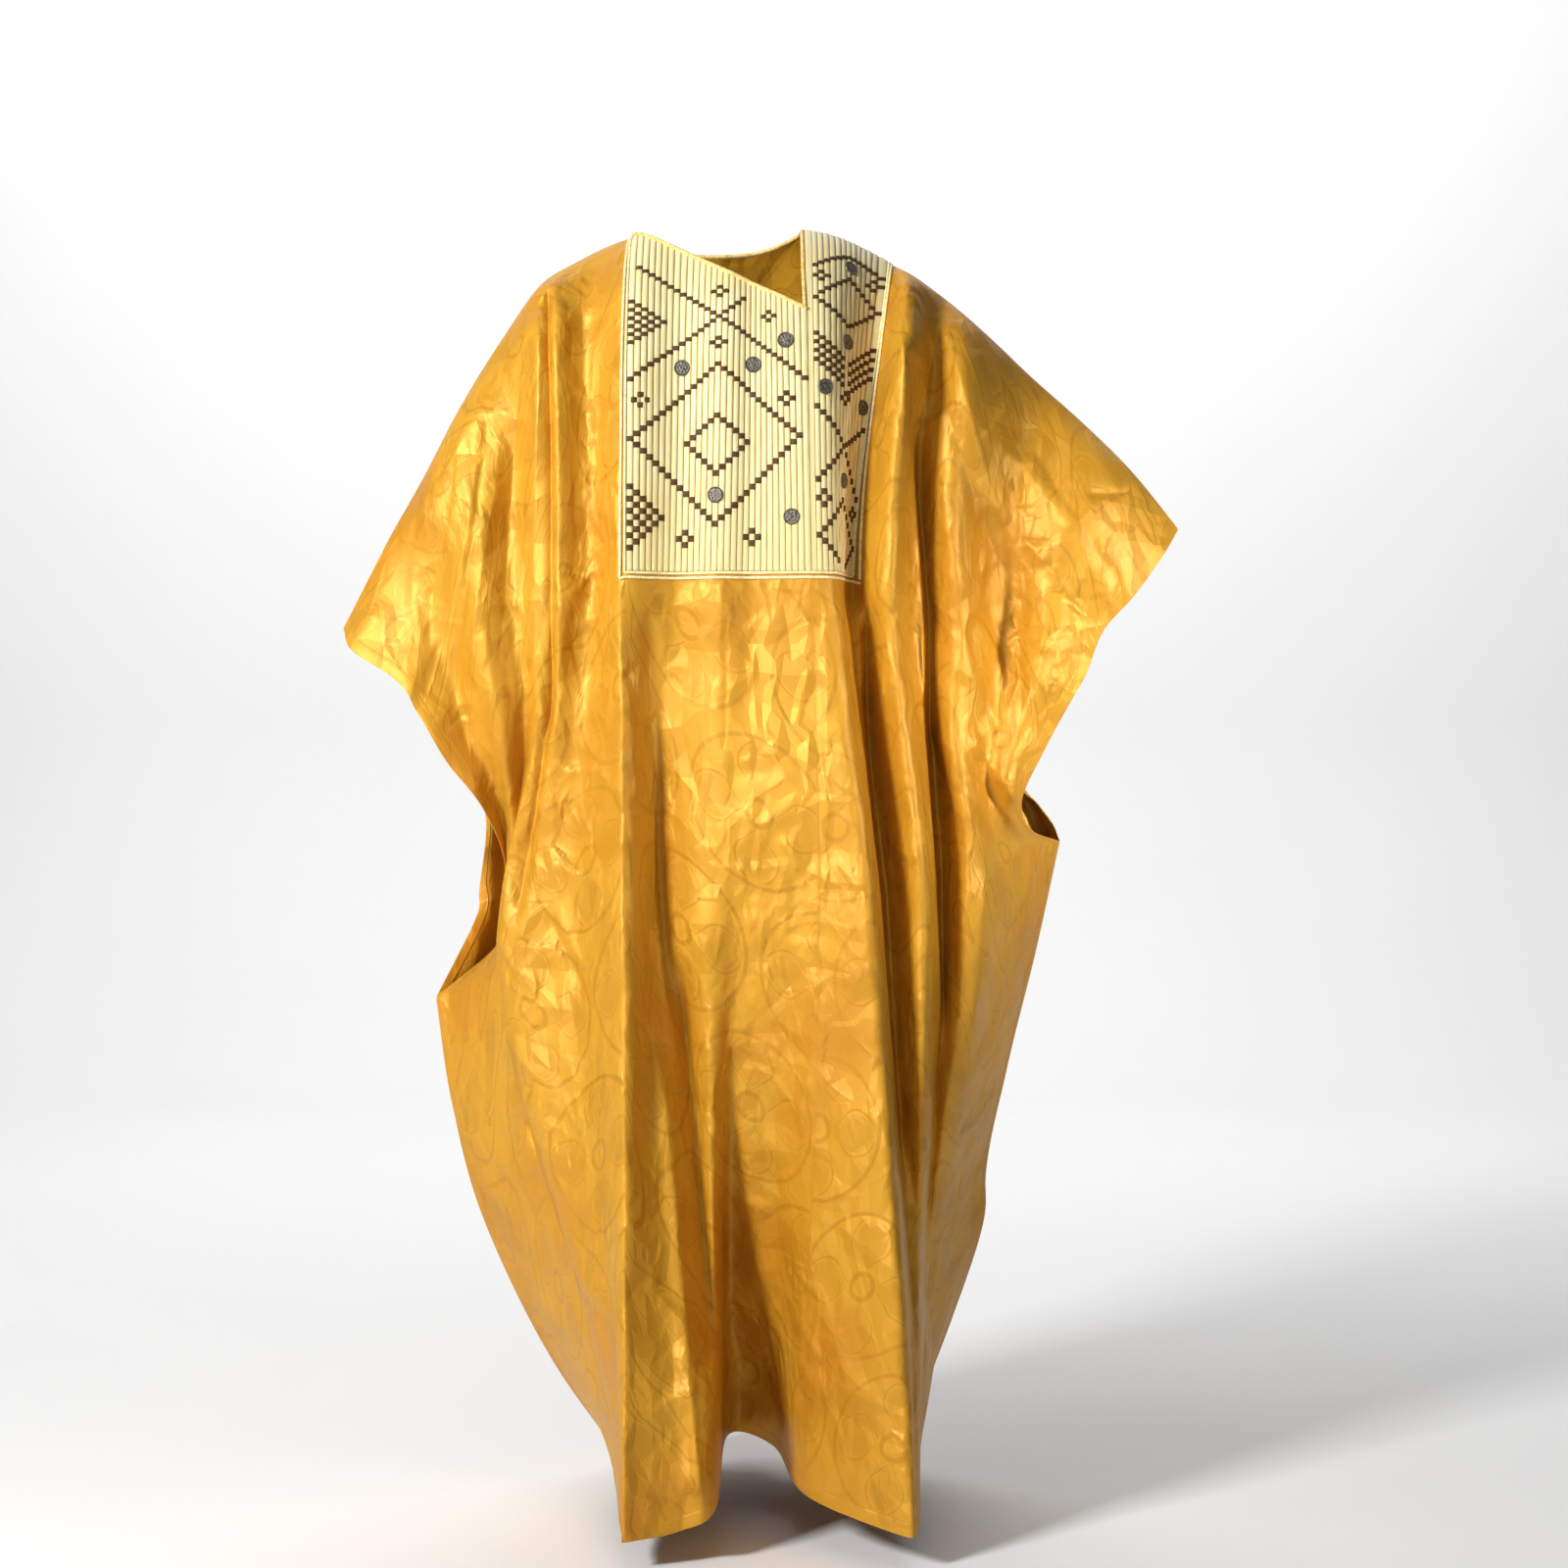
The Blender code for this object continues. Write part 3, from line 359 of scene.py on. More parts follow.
FRONT_CRUMPLES = records(
    CrumpleZone,
    ("left_sleeve", (-277, -431), (77, 93), 30, 50, 3.2, 1.2),
    ("left_chest", (-140, -350), (31, 185), 34, 42, 3.2, 1.4),
    ("left_waist", (-147, -641), (47, 134), 44, 40, 3.2, 1.9),
    ("under_bib", (-33, -444), (72, 72), 28, 38, 3, 1.4),
    ("centre", (28, -733), (88, 227), 30, 52, 3.6, 1.2),
    ("low_centre", (70, -1156), (88, 113), 26, 46, 3.6, 1.7),
    ("left_low", (-182, -1018), (72, 237), 40, 54, 3.6, 2.2),
    ("left_lobe", (-58, -1108), (41, 227), 20, 48, 3.6, 1.2),
    ("right_sleeve", (333, -325), (93, 124), 34, 54, 3.6, 1.5),
    ("right_cuff", (368, -453), (46, 82), 24, 40, 3.4, 1.8),
    ("right_wing", (295, -767), (46, 196), 20, 52, 3.6, 1.2),
    ("left_all_over", (-200, -700), (110, 420), 110, 46, 2.6, 0.7),
    ("middle_all_over", (20, -850), (120, 330), 140, 48, 2.6, 0.7),
    ("right_all_over", (240, -650), (110, 420), 110, 48, 2.6, 0.7),
    ("right_hem", (150, -1282), (62, 72), 20, 36, 5, 1.6),
)

BACK_CREASES = records(
    Crease,
    ("nape_valley", ((-30, -60), (-26, -300), (-20, -620), (-12, -1000)), 18, 18, -6, 0.15, 0.3),
    ("left_blade_ridge", ((-150, -80), (-150, -330), (-158, -640), (-150, -1000), (-120, -1330)), 22, 12, 8, 0.1,
        0.1),
    ("left_blade_valley", ((-185, -120), (-188, -330), (-200, -620), (-196, -900)), 10, 18, -9, 0.12, 0.2),
    ("middle_ridge", ((40, -260), (44, -560), (52, -900), (56, -1340)), 12, 20, 7, 0.3, 0.05),
    ("middle_valley", ((78, -420), (84, -700), (92, -1000), (98, -1300)), 14, 14, -9, 0.25, 0.1),
    ("right_blade_ridge", ((150, -70), (158, -330), (170, -640), (172, -1000), (168, -1330)), 12, 22, 8, 0.1,
        0.1),
    ("right_blade_valley", ((190, -130), (200, -330), (216, -620), (222, -900)), 16, 10, -9, 0.12, 0.2),
    ("left_sleeve_streak", ((-236, -190), (-250, -330), (-270, -520)), 12, 12, 5, 0.2, 0.2),
    ("left_sleeve_trough", ((-280, -250), (-296, -360), (-310, -480)), 10, 10, -5, 0.2, 0.2),
    ("right_sleeve_streak", ((250, -130), (290, -300), (330, -460)), 12, 12, 5, 0.2, 0.2),
    ("right_sleeve_trough", ((310, -180), (345, -300), (385, -420)), 10, 10, -5, 0.2, 0.2),
    ("shallow_hollow", ((16, -640), (16, -900), (15, -1120), (15, -1345)), 20, 18, 34, 0.35, 0.0),
    ("low_ridge", ((-41, -700), (-32, -900), (-24, -1120), (-16, -1345)), 16, 18, -26, 0.35, 0.0),
    ("deep_hollow", ((127, -620), (108, -900), (92, -1120), (76, -1345)), 14, 12, -22, 0.3, 0.0),
    ("slack_ridge", ((186, -640), (160, -900), (134, -1120), (108, -1345)), 18, 20, -24, 0.35, 0.0),
    ("closed_hollow", ((-194, -640), (-155, -900), (-118, -1120), (-82, -1345)), 20, 20, 30, 0.35, 0.0),
    ("left_low_cross", ((-150, -1180), (-90, -1150), (-30, -1160)), 6, 6, 4, 0.3, 0.3),
    ("right_low_cross", ((110, -1120), (160, -1160), (210, -1150)), 6, 6, 4, 0.3, 0.3),
)

BACK_CRUMPLES = records(
    CrumpleZone,
    ("back_shoulders", (0, -260), (190, 110), 40, 48, 4.5, 1.7),
    ("back_waist", (0, -640), (170, 130), 56, 44, 4.5, 2.2),
    ("back_left_sleeve", (-280, -400), (80, 100), 30, 45, 4.5, 1.7),
    ("back_right_sleeve", (330, -330), (90, 110), 30, 48, 4.5, 1.8),
    ("back_low", (20, -1080), (150, 190), 50, 48, 5, 1.9),
)


def smooth(at: np.ndarray, knots: np.ndarray, values: np.ndarray, level_end: bool = False) -> np.ndarray:
    """A smooth curve through every knot: cubic pieces whose slopes are the mean slopes at the knots.

    Args:
        at: Places to read, within the knots.
        knots: Rising places of the known values.
        values: One value or one row of values for each knot.
        level_end: Whether the curve runs out level at its last knot.

    Returns:
        The curve's values at `at`.
    """
    knots = np.asarray(knots, float)
    values = np.asarray(values, float)
    slopes = np.gradient(values, knots, axis=0)
    if level_end:
        slopes[-1] = 0
    low = np.clip(np.searchsorted(knots, at, side="right") - 1, 0, len(knots) - 2)
    span = knots[low + 1] - knots[low]
    t = (at - knots[low]) / span
    if values.ndim > 1:
        t, span = t[:, None], span[:, None]
    rise = t * t * (3 - 2 * t)
    return (
        values[low] * (1 - rise)
        + values[low + 1] * rise
        + slopes[low] * span * t * (1 - t) ** 2
        - slopes[low + 1] * span * t * t * (1 - t)
    )


def ease(part: np.ndarray) -> np.ndarray:
    """0 below 0, 1 above 1, and 3t² - 2t³ between them."""
    t = np.clip(part, 0, 1)
    return t * t * (3 - 2 * t)


def hill(at: np.ndarray, middle: float, width: float) -> np.ndarray:
    """exp(-((at - middle) / width)²): 1 at the middle, falling off on both sides."""
    return np.exp(-(((at - middle) / width) ** 2))


def unit(vectors: np.ndarray) -> np.ndarray:
    """The same vectors at length 1."""
    return vectors / np.maximum(np.linalg.norm(vectors, axis=-1, keepdims=True), TINY)


def run_lengths(points: np.ndarray) -> np.ndarray:
    """Distances run along a row of points, starting at 0."""
    return np.append(0, np.cumsum(np.linalg.norm(np.diff(points, axis=0), axis=1)))


def spaced(route: np.ndarray, step: float) -> np.ndarray:
    """The route again with points at an even step.

    Args:
        route: Points in rows of three.
        step: Distance between the new points.

    Returns:
        The new points.
    """
    run = run_lengths(route)
    keep = np.append(True, np.diff(run) > SAME_PLACE)
    at = np.linspace(0, run[-1], max(2, int(round(run[-1] / step)) + 1))
    return np.stack([np.interp(at, run[keep], route[keep, axis]) for axis in range(3)], axis=-1)


def between(values: np.ndarray, row: np.ndarray, column: np.ndarray) -> np.ndarray:
    """Values of a grid, linear between its own.

    Args:
        values: Numbers or vectors by row and column.
        row: Fractional row numbers, in any shape.
        column: Fractional column numbers, in the same shape.

    Returns:
        Values in that shape.
    """
    low_r = np.clip(row.astype(int), 0, values.shape[0] - 2)
    low_c = np.clip(column.astype(int), 0, values.shape[1] - 2)
    part_r, part_c = row - low_r, column - low_c
    if values.ndim > 2:
        part_r, part_c = part_r[..., None], part_c[..., None]
    near = values[low_r, low_c] * (1 - part_c) + values[low_r, low_c + 1] * part_c
    far = values[low_r + 1, low_c] * (1 - part_c) + values[low_r + 1, low_c + 1] * part_c
    return near * (1 - part_r) + far * part_r


def place_in(steps: np.ndarray, at: np.ndarray) -> np.ndarray:
    """Where values come in a rising row of steps, as fractional numbers."""
    return np.interp(at, steps, np.arange(len(steps)))


def shoulder_height(x: np.ndarray) -> np.ndarray:
    """Height of the shoulder line, which runs straight on across the neck."""
    return smooth(x, SHOULDER_LINE[:, 0], SHOULDER_LINE[:, 1])


def fold_curve(folds: tuple[Fold, ...], measure: str, columns: np.ndarray) -> np.ndarray:
    """One of the folds' measures, carried smoothly from fold to fold."""
    return smooth(columns, np.arange(len(folds)), [getattr(fold, measure) for fold in folds])


def fold_number(folds: tuple[Fold, ...], name: str) -> int:
    """Where a fold stands in its table."""
    return [fold.name for fold in folds].index(name)


def edge_curve(open_edge: tuple[EdgePoint, ...], seam: tuple[EdgePoint, ...], levels: np.ndarray) -> np.ndarray:
    """A panel's side edge at each level: its open stretch, then the seam that both panels share."""
    curves = []
    for stretch in (open_edge + seam[:1], seam):
        way = np.array([(point.x, point.y, point.z) for point in stretch], float)
        curves.append(smooth(levels, [point.level for point in stretch], way))
    return np.where((levels < SEAM)[:, None], curves[0], curves[1])


def chest_height(columns: np.ndarray, level_span: tuple[int, ...], last: int) -> np.ndarray:
    """Height of the chest level: level across the span, and lower by a power of the distance on both sides."""
    left = np.clip((level_span[0] - columns) / level_span[0], 0, 1)
    right = np.clip((columns - level_span[1]) / (last - level_span[1]), 0, 1)
    return CHEST_Z - CHEST_DROP_LEFT * left**CHEST_DROP_POWER - CHEST_DROP_RIGHT * right**CHEST_DROP_POWER


class Side(Enum):
    """Which panel a surface belongs to, with the direction along Y in which its outer face looks."""

    FRONT = -1
    BACK = 1

    @property
    def outward(self) -> np.ndarray:
        """That direction as a vector."""
        return np.array([0.0, float(self.value), 0.0])


@dataclass(frozen=True)
class PanelForm:
    """The hanging form of a panel, as its solid has it: a surface over fold number and level.

    Attributes:
        side: Which panel it is.
        folds: Its ridges and hollows, from left to right.
        shoulder: How it goes over the shoulder.
        edges: The open stretch and the seam of its left and of its right side edge.
        level_span: The folds between which the chest level runs level.
    """

    side: Side
    folds: tuple[Fold, ...]
    shoulder: tuple[OverShoulder, ...]
    edges: tuple[tuple[tuple[EdgePoint, ...], tuple[EdgePoint, ...]], ...]
    level_span: tuple[str, str]

    @property
    def last(self) -> int:
        """The number of the last fold."""
        return len(self.folds) - 1

    def over_shoulder(self, measure: str, columns: np.ndarray) -> np.ndarray:
        """One of the shoulder table's measures at every column, straight from fold to fold."""
        places = [fold_number(self.folds, point.fold) for point in self.shoulder]
        return np.interp(columns, places, [getattr(point, measure) for point in self.shoulder])

    def heights(self, columns: np.ndarray) -> np.ndarray:
        """Heights of the five levels in each column.

        The neck level of the front runs straight from the bib's left side to the neck point, and the top of the
        back is scooped by a parabola between the two sides of the neck.

        Args:
            columns: Fold numbers.

        Returns:
            Heights in millimetres, by level and column.
        """
        across = fold_curve(self.folds, "shoulder_x", columns)
        top = shoulder_height(across)
        neck = top - self.over_shoulder("neck_drop", columns)
        if self.side is Side.FRONT:
            ends = np.array([BIB_LEFT, NECK_POINT], float)
            end_x = fold_curve(self.folds, "shoulder_x", ends)
            end_z = shoulder_height(end_x) - self.over_shoulder("neck_drop", ends)
            slant = (columns >= ends[0]) & (columns <= ends[1])
            neck = np.where(slant, np.interp(across, end_x, end_z), neck)
        else:
            top = top - BACK_NECK_DROP * np.clip(1 - (across / NECK_HALF_WIDTH) ** 2, 0, 1)
        span = tuple(fold_number(self.folds, name) for name in self.level_span)
        chest = chest_height(columns, span, self.last)
        seam = np.interp(columns, (0, self.last), (SEAM_TOP_LEFT_Z, SEAM_TOP_RIGHT_Z))
        return np.stack([top, neck, chest, seam, fold_curve(self.folds, "hem_z", columns)])

    def points(self, columns: np.ndarray, levels: np.ndarray) -> np.ndarray:
        """Points of the solid's inner face, in millimetres, by column and level.

        Over the shoulder the depth is that of a quarter ellipse, y = depth · sqrt(1 - (1 - fall / rounding)²).
        Below the chest it runs on smoothly to the seam's top and the hem. Beside an edge, the edge's own bend is
        added with a weight that falls off linearly.

        Args:
            columns: Fold numbers.
            levels: Levels.

        Returns:
            The points.
        """
        crossing = [fold_curve(self.folds, name, columns) for name in ("shoulder_x", "chest_x", "seam_x", "hem_x")]
        depth = [fold_curve(self.folds, name, columns) for name in ("chest_y", "seam_y", "hem_y")]
        rounding = self.over_shoulder("rounding", columns)
        x = smooth(levels, (SHOULDER, CHEST, SEAM, HEM), np.stack(crossing), level_end=True).T
        z = np.stack([np.interp(levels, LEVELS, column) for column in self.heights(columns).T])
        fallen = np.clip((shoulder_height(crossing[0])[:, None] - z) / rounding[:, None], 0, 1)
        upper = depth[0][:, None] * np.sqrt(1 - (1 - fallen) ** 2)
        lower = smooth(np.maximum(levels, CHEST), (CHEST, SEAM, HEM), np.stack(depth)).T
        points = np.stack([x, np.where(levels <= CHEST, upper, lower), z], axis=-1)
        reach = np.interp(levels, (CHEST, SEAM), (SLEEVE_REACH, SEAM_REACH))
        for number, edge in enumerate(self.edges):
            bend = edge_curve(*edge, levels) - points[-number]
            distance = self.last - columns if number else columns
            weight = np.clip(1 - distance[:, None] / reach, 0, 1)
            points = points + weight[..., None] * bend
        return points


def crease_heights(across: np.ndarray, height: np.ndarray, crease: Crease) -> np.ndarray:
    """How high one crease stands at each place.

    The height falls off as exp(c - sqrt(c² + (d / w)²)) with the distance d from the path, where w is the width on
    that side and c a small rounding, so the crest is crisp and the feet are soft. It eases in and out along the path.

    Args:
        across: X of the places, in millimetres.
        height: Z of the places, in millimetres.
        crease: The crease.

    Returns:
        Heights in millimetres, in the shape of `across`.
    """
    knots = np.array(crease.path, float)
    way = smooth(np.linspace(0, len(knots) - 1, PATH_STEPS * len(knots)), np.arange(len(knots)), knots)
    reach = CREASE_REACH * max(crease.left, crease.right)
    low, high = way.min(axis=0) - reach, way.max(axis=0) + reach
    near = (across > low[0]) & (across < high[0]) & (height > low[1]) & (height < high[1])
    step = np.diff(way, axis=0)
    offset = np.stack([across[near], height[near]], axis=-1)[:, None] - way[None, :-1]
    part = np.clip((offset * step).sum(-1) / (step**2).sum(-1), 0, 1)
    gap = offset - part[..., None] * step
    distance = np.linalg.norm(gap, axis=-1)
    best = np.argmin(distance, axis=1)
    row = np.arange(len(best))
    run = (best + part[row, best]) / len(step)
    # A path that runs down has higher X on the side where the cross product is positive.
    turn = step[best, 0] * gap[row, best, 1] - step[best, 1] * gap[row, best, 0]
    heading = -np.sign(way[-1, 1] - way[0, 1]) or 1.0
    width = np.where(turn * heading > 0, crease.right, crease.left)
    fall = np.exp(CREST_ROUNDING - np.sqrt(CREST_ROUNDING**2 + (distance[row, best] / width) ** 2))
    fade_in = ease(run / crease.start) if crease.start else 1.0
    fade_out = ease((1 - run) / crease.end) if crease.end else 1.0
    found = np.zeros_like(across)
    found[near] = crease.rise * fall * fade_in * fade_out
    return found


def scatter(zones: tuple[CrumpleZone, ...], seed: int) -> list[Crease]:
    """Short bent creases at random places in each zone, the same on every run.

    Args:
        zones: The zones.
        seed: Seed of the random numbers.

    Returns:
        One crease for each crumple.
    """
    chance = np.random.default_rng(seed)
    found = []
    for zone in zones:
        for number in range(zone.count):
            middle = np.array(zone.middle) + chance.normal(0, CRUMPLE_SPREAD, 2) * zone.spread
            angle = chance.uniform(0, math.pi)
            along = np.array([math.cos(angle), math.sin(angle)])
            half = 0.5 * zone.length * chance.uniform(*CRUMPLE_HALF_LENGTH)
            bow = np.array([-along[1], along[0]]) * half * chance.uniform(*CRUMPLE_BOW)
            path = (middle - along * half, middle + bow, middle + along * half)
            sides = zone.width * chance.uniform(*CRUMPLE_WIDE), zone.width * chance.uniform(*CRUMPLE_NARROW)
            left, right = sides if chance.random() < 0.5 else sides[::-1]
            rise = zone.rise * chance.uniform(*CRUMPLE_RISE) * chance.choice([1, 1, -1])
            path = tuple(map(tuple, path))
            found.append(Crease(f"{zone.name}_{number}", path, left, right, rise, CRUMPLE_FADE, CRUMPLE_FADE))
    return found


def swell(across: np.ndarray, height: np.ndarray, seed: int) -> np.ndarray:
    """A slow uneven swell of the cloth: a sum of long sines in random directions, the longest the highest.

    Args:
        across: X of the places, in millimetres.
        height: Z of the places, in millimetres.
        seed: Seed of the random numbers.

    Returns:
        Heights in millimetres, in the shape of `across`.
    """
    chance = np.random.default_rng(seed)
    total = np.zeros_like(across)
    for _ in range(SWELL_WAVES):
        angle, length = chance.uniform(-SWELL_SLANT, SWELL_SLANT), chance.uniform(*SWELL_LENGTHS)
        phase = 2 * math.pi * (across * math.cos(angle) + height * math.sin(angle) * 0.5) / length
        total += np.sin(phase + chance.uniform(0, 2 * math.pi)) * length / SWELL_LENGTHS[1]
    return SWELL_RISE * total / SWELL_MEAN


@dataclass
class ClothSheet:
    """A panel's outer face on a fine grid, read by fold number and level.

    Attributes:
        columns: Fold number of each column of points.
        levels: Level of each row of points.
        points: Points in metres, by column and row.
        kept: Which cells hold cloth.
        side: Which panel it is.
        normals: Outward directions at the points.
    """

    columns: np.ndarray
    levels: np.ndarray
    points: np.ndarray
    kept: np.ndarray
    side: Side
    normals: np.ndarray = field(init=False)

    def __post_init__(self) -> None:
        """Works out the outward directions from the grid's own slopes."""
        along = np.gradient(self.points, axis=0)
        down = np.gradient(self.points, axis=1)
        self.normals = unit(np.cross(along, down)) * self.side.value

    def at(self, column: np.ndarray, level: np.ndarray) -> tuple[np.ndarray, np.ndarray]:
        """Points and outward directions at pairs of fold number and level, linear between the grid's own.

        Args:
            column: Fold numbers, in any shape.
            level: Levels, in the same shape.

        Returns:
            Points and directions, with a last axis of three.
        """
        where = place_in(self.columns, column), place_in(self.levels, level)
        return between(self.points, *where), unit(between(self.normals, *where))

    def over(self, column: np.ndarray, level: np.ndarray, lift: np.ndarray | float) -> np.ndarray:
        """Points at a height over the outer face."""
        column, level, lift = np.broadcast_arrays(column, level, lift)
        base, out = self.at(column, level)
        return base + out * lift[..., None]

    def stride(self, column: np.ndarray, level: np.ndarray, way: tuple[float, float]) -> np.ndarray:
        """How many steps of `way`, in fold numbers and levels, one metre of cloth takes up at each place."""
        near = self.at(column + way[0] * SMALL_STEP, level + way[1] * SMALL_STEP)[0]
        return SMALL_STEP / np.maximum(np.linalg.norm(near - self.at(column, level)[0], axis=-1), LEAST_LENGTH)


def even_steps(
    places: np.ndarray, lengths: np.ndarray, counts: tuple[int, ...], fixed: tuple[float, ...]
) -> np.ndarray:
    """Grid places at even distances within each span between fixed places.

    Args:
        places: Fine places along the grid's axis.
        lengths: Distance run at each of them.
        counts: Cells in each span.
        fixed: Places between the spans, which get a line of their own.

    Returns:
        The places of the grid's lines.
    """
    stops = np.interp(np.concatenate([[places[0]], fixed, [places[-1]]]), places, lengths)
    parts = [np.linspace(a, b, n, endpoint=False) for a, b, n in zip(stops, stops[1:], counts)]
    return np.interp(np.append(np.concatenate(parts), stops[-1]), lengths, places)


def weave_sheet(
    form: PanelForm, cells: tuple[int, ...], rows: int, creases: list[Crease], fixed: tuple[float, ...], seed: int
) -> ClothSheet:
    """The fine surface of a panel: its solid's form, moved in depth by creases, crumples and a slow swell.

    Args:
        form: The panel's form.
        cells: Cells across, in each span between fixed fold numbers.
        rows: Cells down.
        creases: Everything that stands up from the form or sinks into it.
        fixed: Fold numbers that need a column of their own.
        seed: Seed of the swell.

    Returns:
        The sheet.
    """
    fine = np.linspace(0, form.last, ROUGH_COLUMNS)
    down_fine = np.linspace(SHOULDER, HEM, ROUGH_ROWS)
    rough = form.points(fine, down_fine)
    across = np.mean([run_lengths(rough[:, row]) for row in WIDTH_ROWS], axis=0)
    down = run_lengths(rough[ROUGH_COLUMNS // 2])
    columns = even_steps(fine, across, cells, fixed)
    neck_rows = int(round(np.interp(NECK, down_fine, down) / down[-1] * rows))
    levels = even_steps(down_fine, down, (neck_rows, rows - neck_rows), (NECK,))
    base = form.points(columns, levels)
    kept = np.ones((len(columns) - 1, rows), bool)
    plain = ClothSheet(columns, levels, base, kept, form.side)
    rise = swell(base[..., 0], base[..., 2], seed)
    for crease in creases:
        rise += crease_heights(base[..., 0], base[..., 2], crease)
    edge = np.minimum(columns, form.last - columns)[:, None]
    rise *= ease(levels / TOP_EASE) * (SIDE_PART + (1 - SIDE_PART) * ease(edge / SIDE_EASE))
    points = (base + form.side.outward * rise[..., None] + plain.normals * (CLOTH_LIFT / MM)) * MM
    if form.side is Side.FRONT:
        open_neck = (columns > BIB_LEFT - TINY) & (columns < NECK_POINT - TINY)
        first = int(np.argmin(np.abs(levels - NECK)))
        points[open_neck, :first] = points[open_neck, first : first + 1]
        kept[open_neck[:-1], :first] = False
    return ClothSheet(columns, levels, points, kept, form.side)


def link(name: str, data: bpy.types.ID) -> bpy.types.Object:
    """A new object in the scene for a mesh, a light or a camera."""
    item = bpy.data.objects.new(name, data)
    bpy.context.scene.collection.objects.link(item)
    return item


def dress(item: bpy.types.Object, finish: bpy.types.Material, slot: str, node: str | None = None) -> None:
    """Gives a piece its finish and its place in the frame, and logs it.

    Args:
        item: The piece.
        finish: Its material.
        slot: Its slot; not used.
        node: The solid that it replaces, if any.
    """
    item.data.materials.append(finish)
    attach(item, BODY)
    if node:
        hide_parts(node)
    LOG.info("%s: %d faces", item.name, len(item.data.polygons))


def link_mesh(
    name: str, points: np.ndarray, faces: np.ndarray, uv: np.ndarray | None = None, normals: np.ndarray | None = None
) -> bpy.types.Object:
    """A smooth mesh object with its place in its mesh.

    Args:
        name: The object's name.
        points: Points in metres, in rows of three.
        faces: Corner numbers, in rows of four.
        uv: One place in the flat cloth for each point, or none.
        normals: One shading direction for each point, or none.

    Returns:
        The object, linked to the scene.
    """
    used, faces = np.unique(faces, return_inverse=True)
    mesh = bpy.data.meshes.new(name)
    mesh.from_pydata(points.reshape(-1, 3)[used].tolist(), [], faces.reshape(-1, 4).tolist())
    mesh.shade_smooth()
    if uv is not None:
        layer = mesh.uv_layers.new(name=CLOTH_MAP)
        corner = np.empty(len(mesh.loops), np.int32)
        mesh.loops.foreach_get("vertex_index", corner)
        layer.data.foreach_set("uv", uv.reshape(-1, 2)[used][corner].astype(np.float32).ravel())
    if normals is not None:
        mesh.normals_split_custom_set_from_vertices(normals.reshape(-1, 3)[used].tolist())
    return link(name, mesh)


def grid_faces(
    count_a: int, count_b: int, wrap_a: bool = False, wrap_b: bool = False, kept: np.ndarray | None = None
) -> np.ndarray:
    """Corner numbers of a grid of quads.

    Args:
        count_a: Points along the first axis.
        count_b: Points along the second axis.
        wrap_a: Whether the first axis closes into a ring.
        wrap_b: Whether the second axis closes into a ring.
        kept: Which cells have a face, or none for all.

    Returns:
        Corner numbers in rows of four.
    """
    number = np.arange(count_a * count_b).reshape(count_a, count_b)
    if wrap_a:
        number = np.concatenate([number, number[:1]])
    if wrap_b:
        number = np.concatenate([number, number[:, :1]], axis=1)
    corners = [number[:-1, :-1], number[1:, :-1], number[1:, 1:], number[:-1, 1:]]
    if kept is not None:
        corners = [corner[kept] for corner in corners]
    return np.stack([corner.ravel() for corner in corners], axis=-1)


def face_vectors(points: np.ndarray, faces: np.ndarray) -> np.ndarray:
    """Twice each quad's area, as a vector square to it."""
    corners = points.reshape(-1, 3)[faces]
    return np.cross(corners[:, 2] - corners[:, 0], corners[:, 3] - corners[:, 1])


def turned_to(outward: np.ndarray, points: np.ndarray, faces: np.ndarray) -> np.ndarray:
    """The faces, all turned over if on the whole they look against the outward direction."""
    return faces[:, ::-1] if (face_vectors(points, faces) @ outward).sum() < 0 else faces


